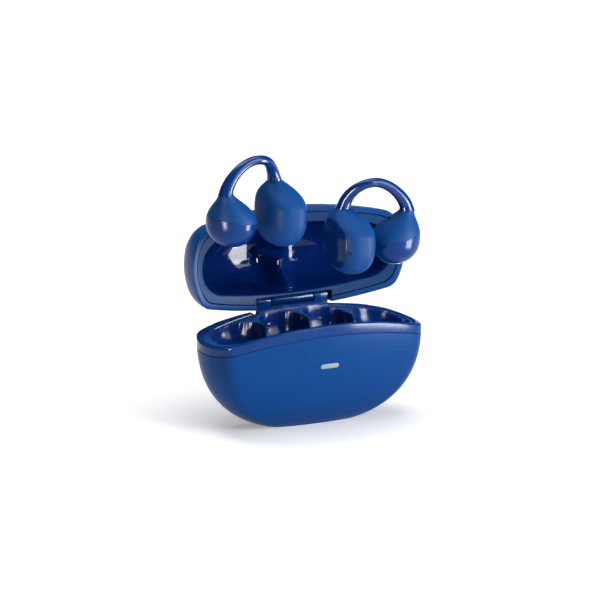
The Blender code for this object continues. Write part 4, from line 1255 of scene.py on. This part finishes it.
# %% [markdown]
# Floor and light
#
# The floor is plain white card. A wide softbox hangs overhead, one stands in front on the right, and one
# behind on the left draws a line along the lid. The two pale bars on every glossy cap come from two
# bright strips that stand low on either side. A studio keeps such strips off the matt surfaces with black
# flags; here they are set to show in gloss only. For the camera and for reflections the card also glows a
# little, so that it is white and still takes a shadow.

# %% Set the floor and the lights
FLOOR_GLOW = 0.30
CARD = "#F4F4F4"
FLOOR_HALF_M = 4.0


def add_lamp(name, at, aim, size, glow, gloss_only=False):
    """A softbox at a point in millimetres, turned to another point, with a face as bright as glow."""
    lamp = bpy.data.lights.new(name, "AREA")
    lamp.shape = "RECTANGLE"
    lamp.size, lamp.size_y = (edge * MM for edge in size)
    lamp.energy = glow * math.pi * lamp.size * lamp.size_y
    made = bpy.data.objects.new(name, lamp)
    bpy.context.scene.collection.objects.link(made)
    made.location = at * MM
    made.rotation_euler = (at - aim).to_track_quat("Z", "Y").to_euler()
    made.visible_camera = False
    made.visible_diffuse = not gloss_only
    return made


def beside(right, toward, height):
    """A point given as the camera sees it: right of the object, towards the camera, and up from the floor."""
    level = Vector((TOWARD.x, TOWARD.y, 0)).normalized()
    return right * RIGHTWARD + toward * level + Vector((0, 0, height))


add_lamp("strip_left", beside(-98, 165, 56), beside(0, 10, 50), (44, 112), 40.0, gloss_only=True)
add_lamp("strip_right", beside(102, 40, 42), beside(8, 10, 42), (42, 78), 28.0, gloss_only=True)
add_lamp("softbox_front_right", beside(560, 360, 300), AIM, (420, 420), 8.0)
add_lamp("softbox_rim", beside(-320, -240, 760), AIM, (200, 420), 7.0)
add_lamp("softbox_top", beside(200, -200, 2500), AIM, (1800, 1800), 3.8)

floor_mesh = bpy.data.meshes.new("floor")
floor_shape = bmesh.new()
bmesh.ops.create_grid(floor_shape, x_segments=2, y_segments=2, size=FLOOR_HALF_M)
floor_shape.to_mesh(floor_mesh)
floor_shape.free()
floor = bpy.data.objects.new("floor", floor_mesh)
bpy.context.scene.collection.objects.link(floor)
card = bpy.data.materials.new("white_card")
card.use_nodes = True
tree = card.node_tree
tree.nodes.clear()
path = add_node(tree, "ShaderNodeLightPath")
seen = path.outputs["Is Camera Ray"]
for kind in ("Is Glossy Ray", "Is Transmission Ray"):
    either = add_node(tree, "ShaderNodeMath", {0: seen, 1: path.outputs[kind]}, operation="MAXIMUM")
    seen = either.outputs[0]
glow_level = add_node(tree, "ShaderNodeMath", {0: seen, 1: FLOOR_GLOW}, operation="MULTIPLY").outputs[0]
glow = add_node(tree, "ShaderNodeEmission", {"Color": linear("#FFFFFF"), "Strength": glow_level})
paper = add_node(tree, "ShaderNodeBsdfDiffuse", {"Color": linear(CARD)})
both = add_node(tree, "ShaderNodeAddShader", {0: glow.outputs[0], 1: paper.outputs[0]})
add_node(tree, "ShaderNodeOutputMaterial", {"Surface": both.outputs[0]})
floor_mesh.materials.append(card)

WORLD_LEVEL = 0.03
world = bpy.data.worlds.new("studio")
bpy.context.scene.world = world
world.use_nodes = True
world.node_tree.nodes["Background"].inputs["Color"].default_value = linear("#FFFFFF")
world.node_tree.nodes["Background"].inputs["Strength"].default_value = WORLD_LEVEL
bpy.context.scene.view_settings.view_transform = "Standard"
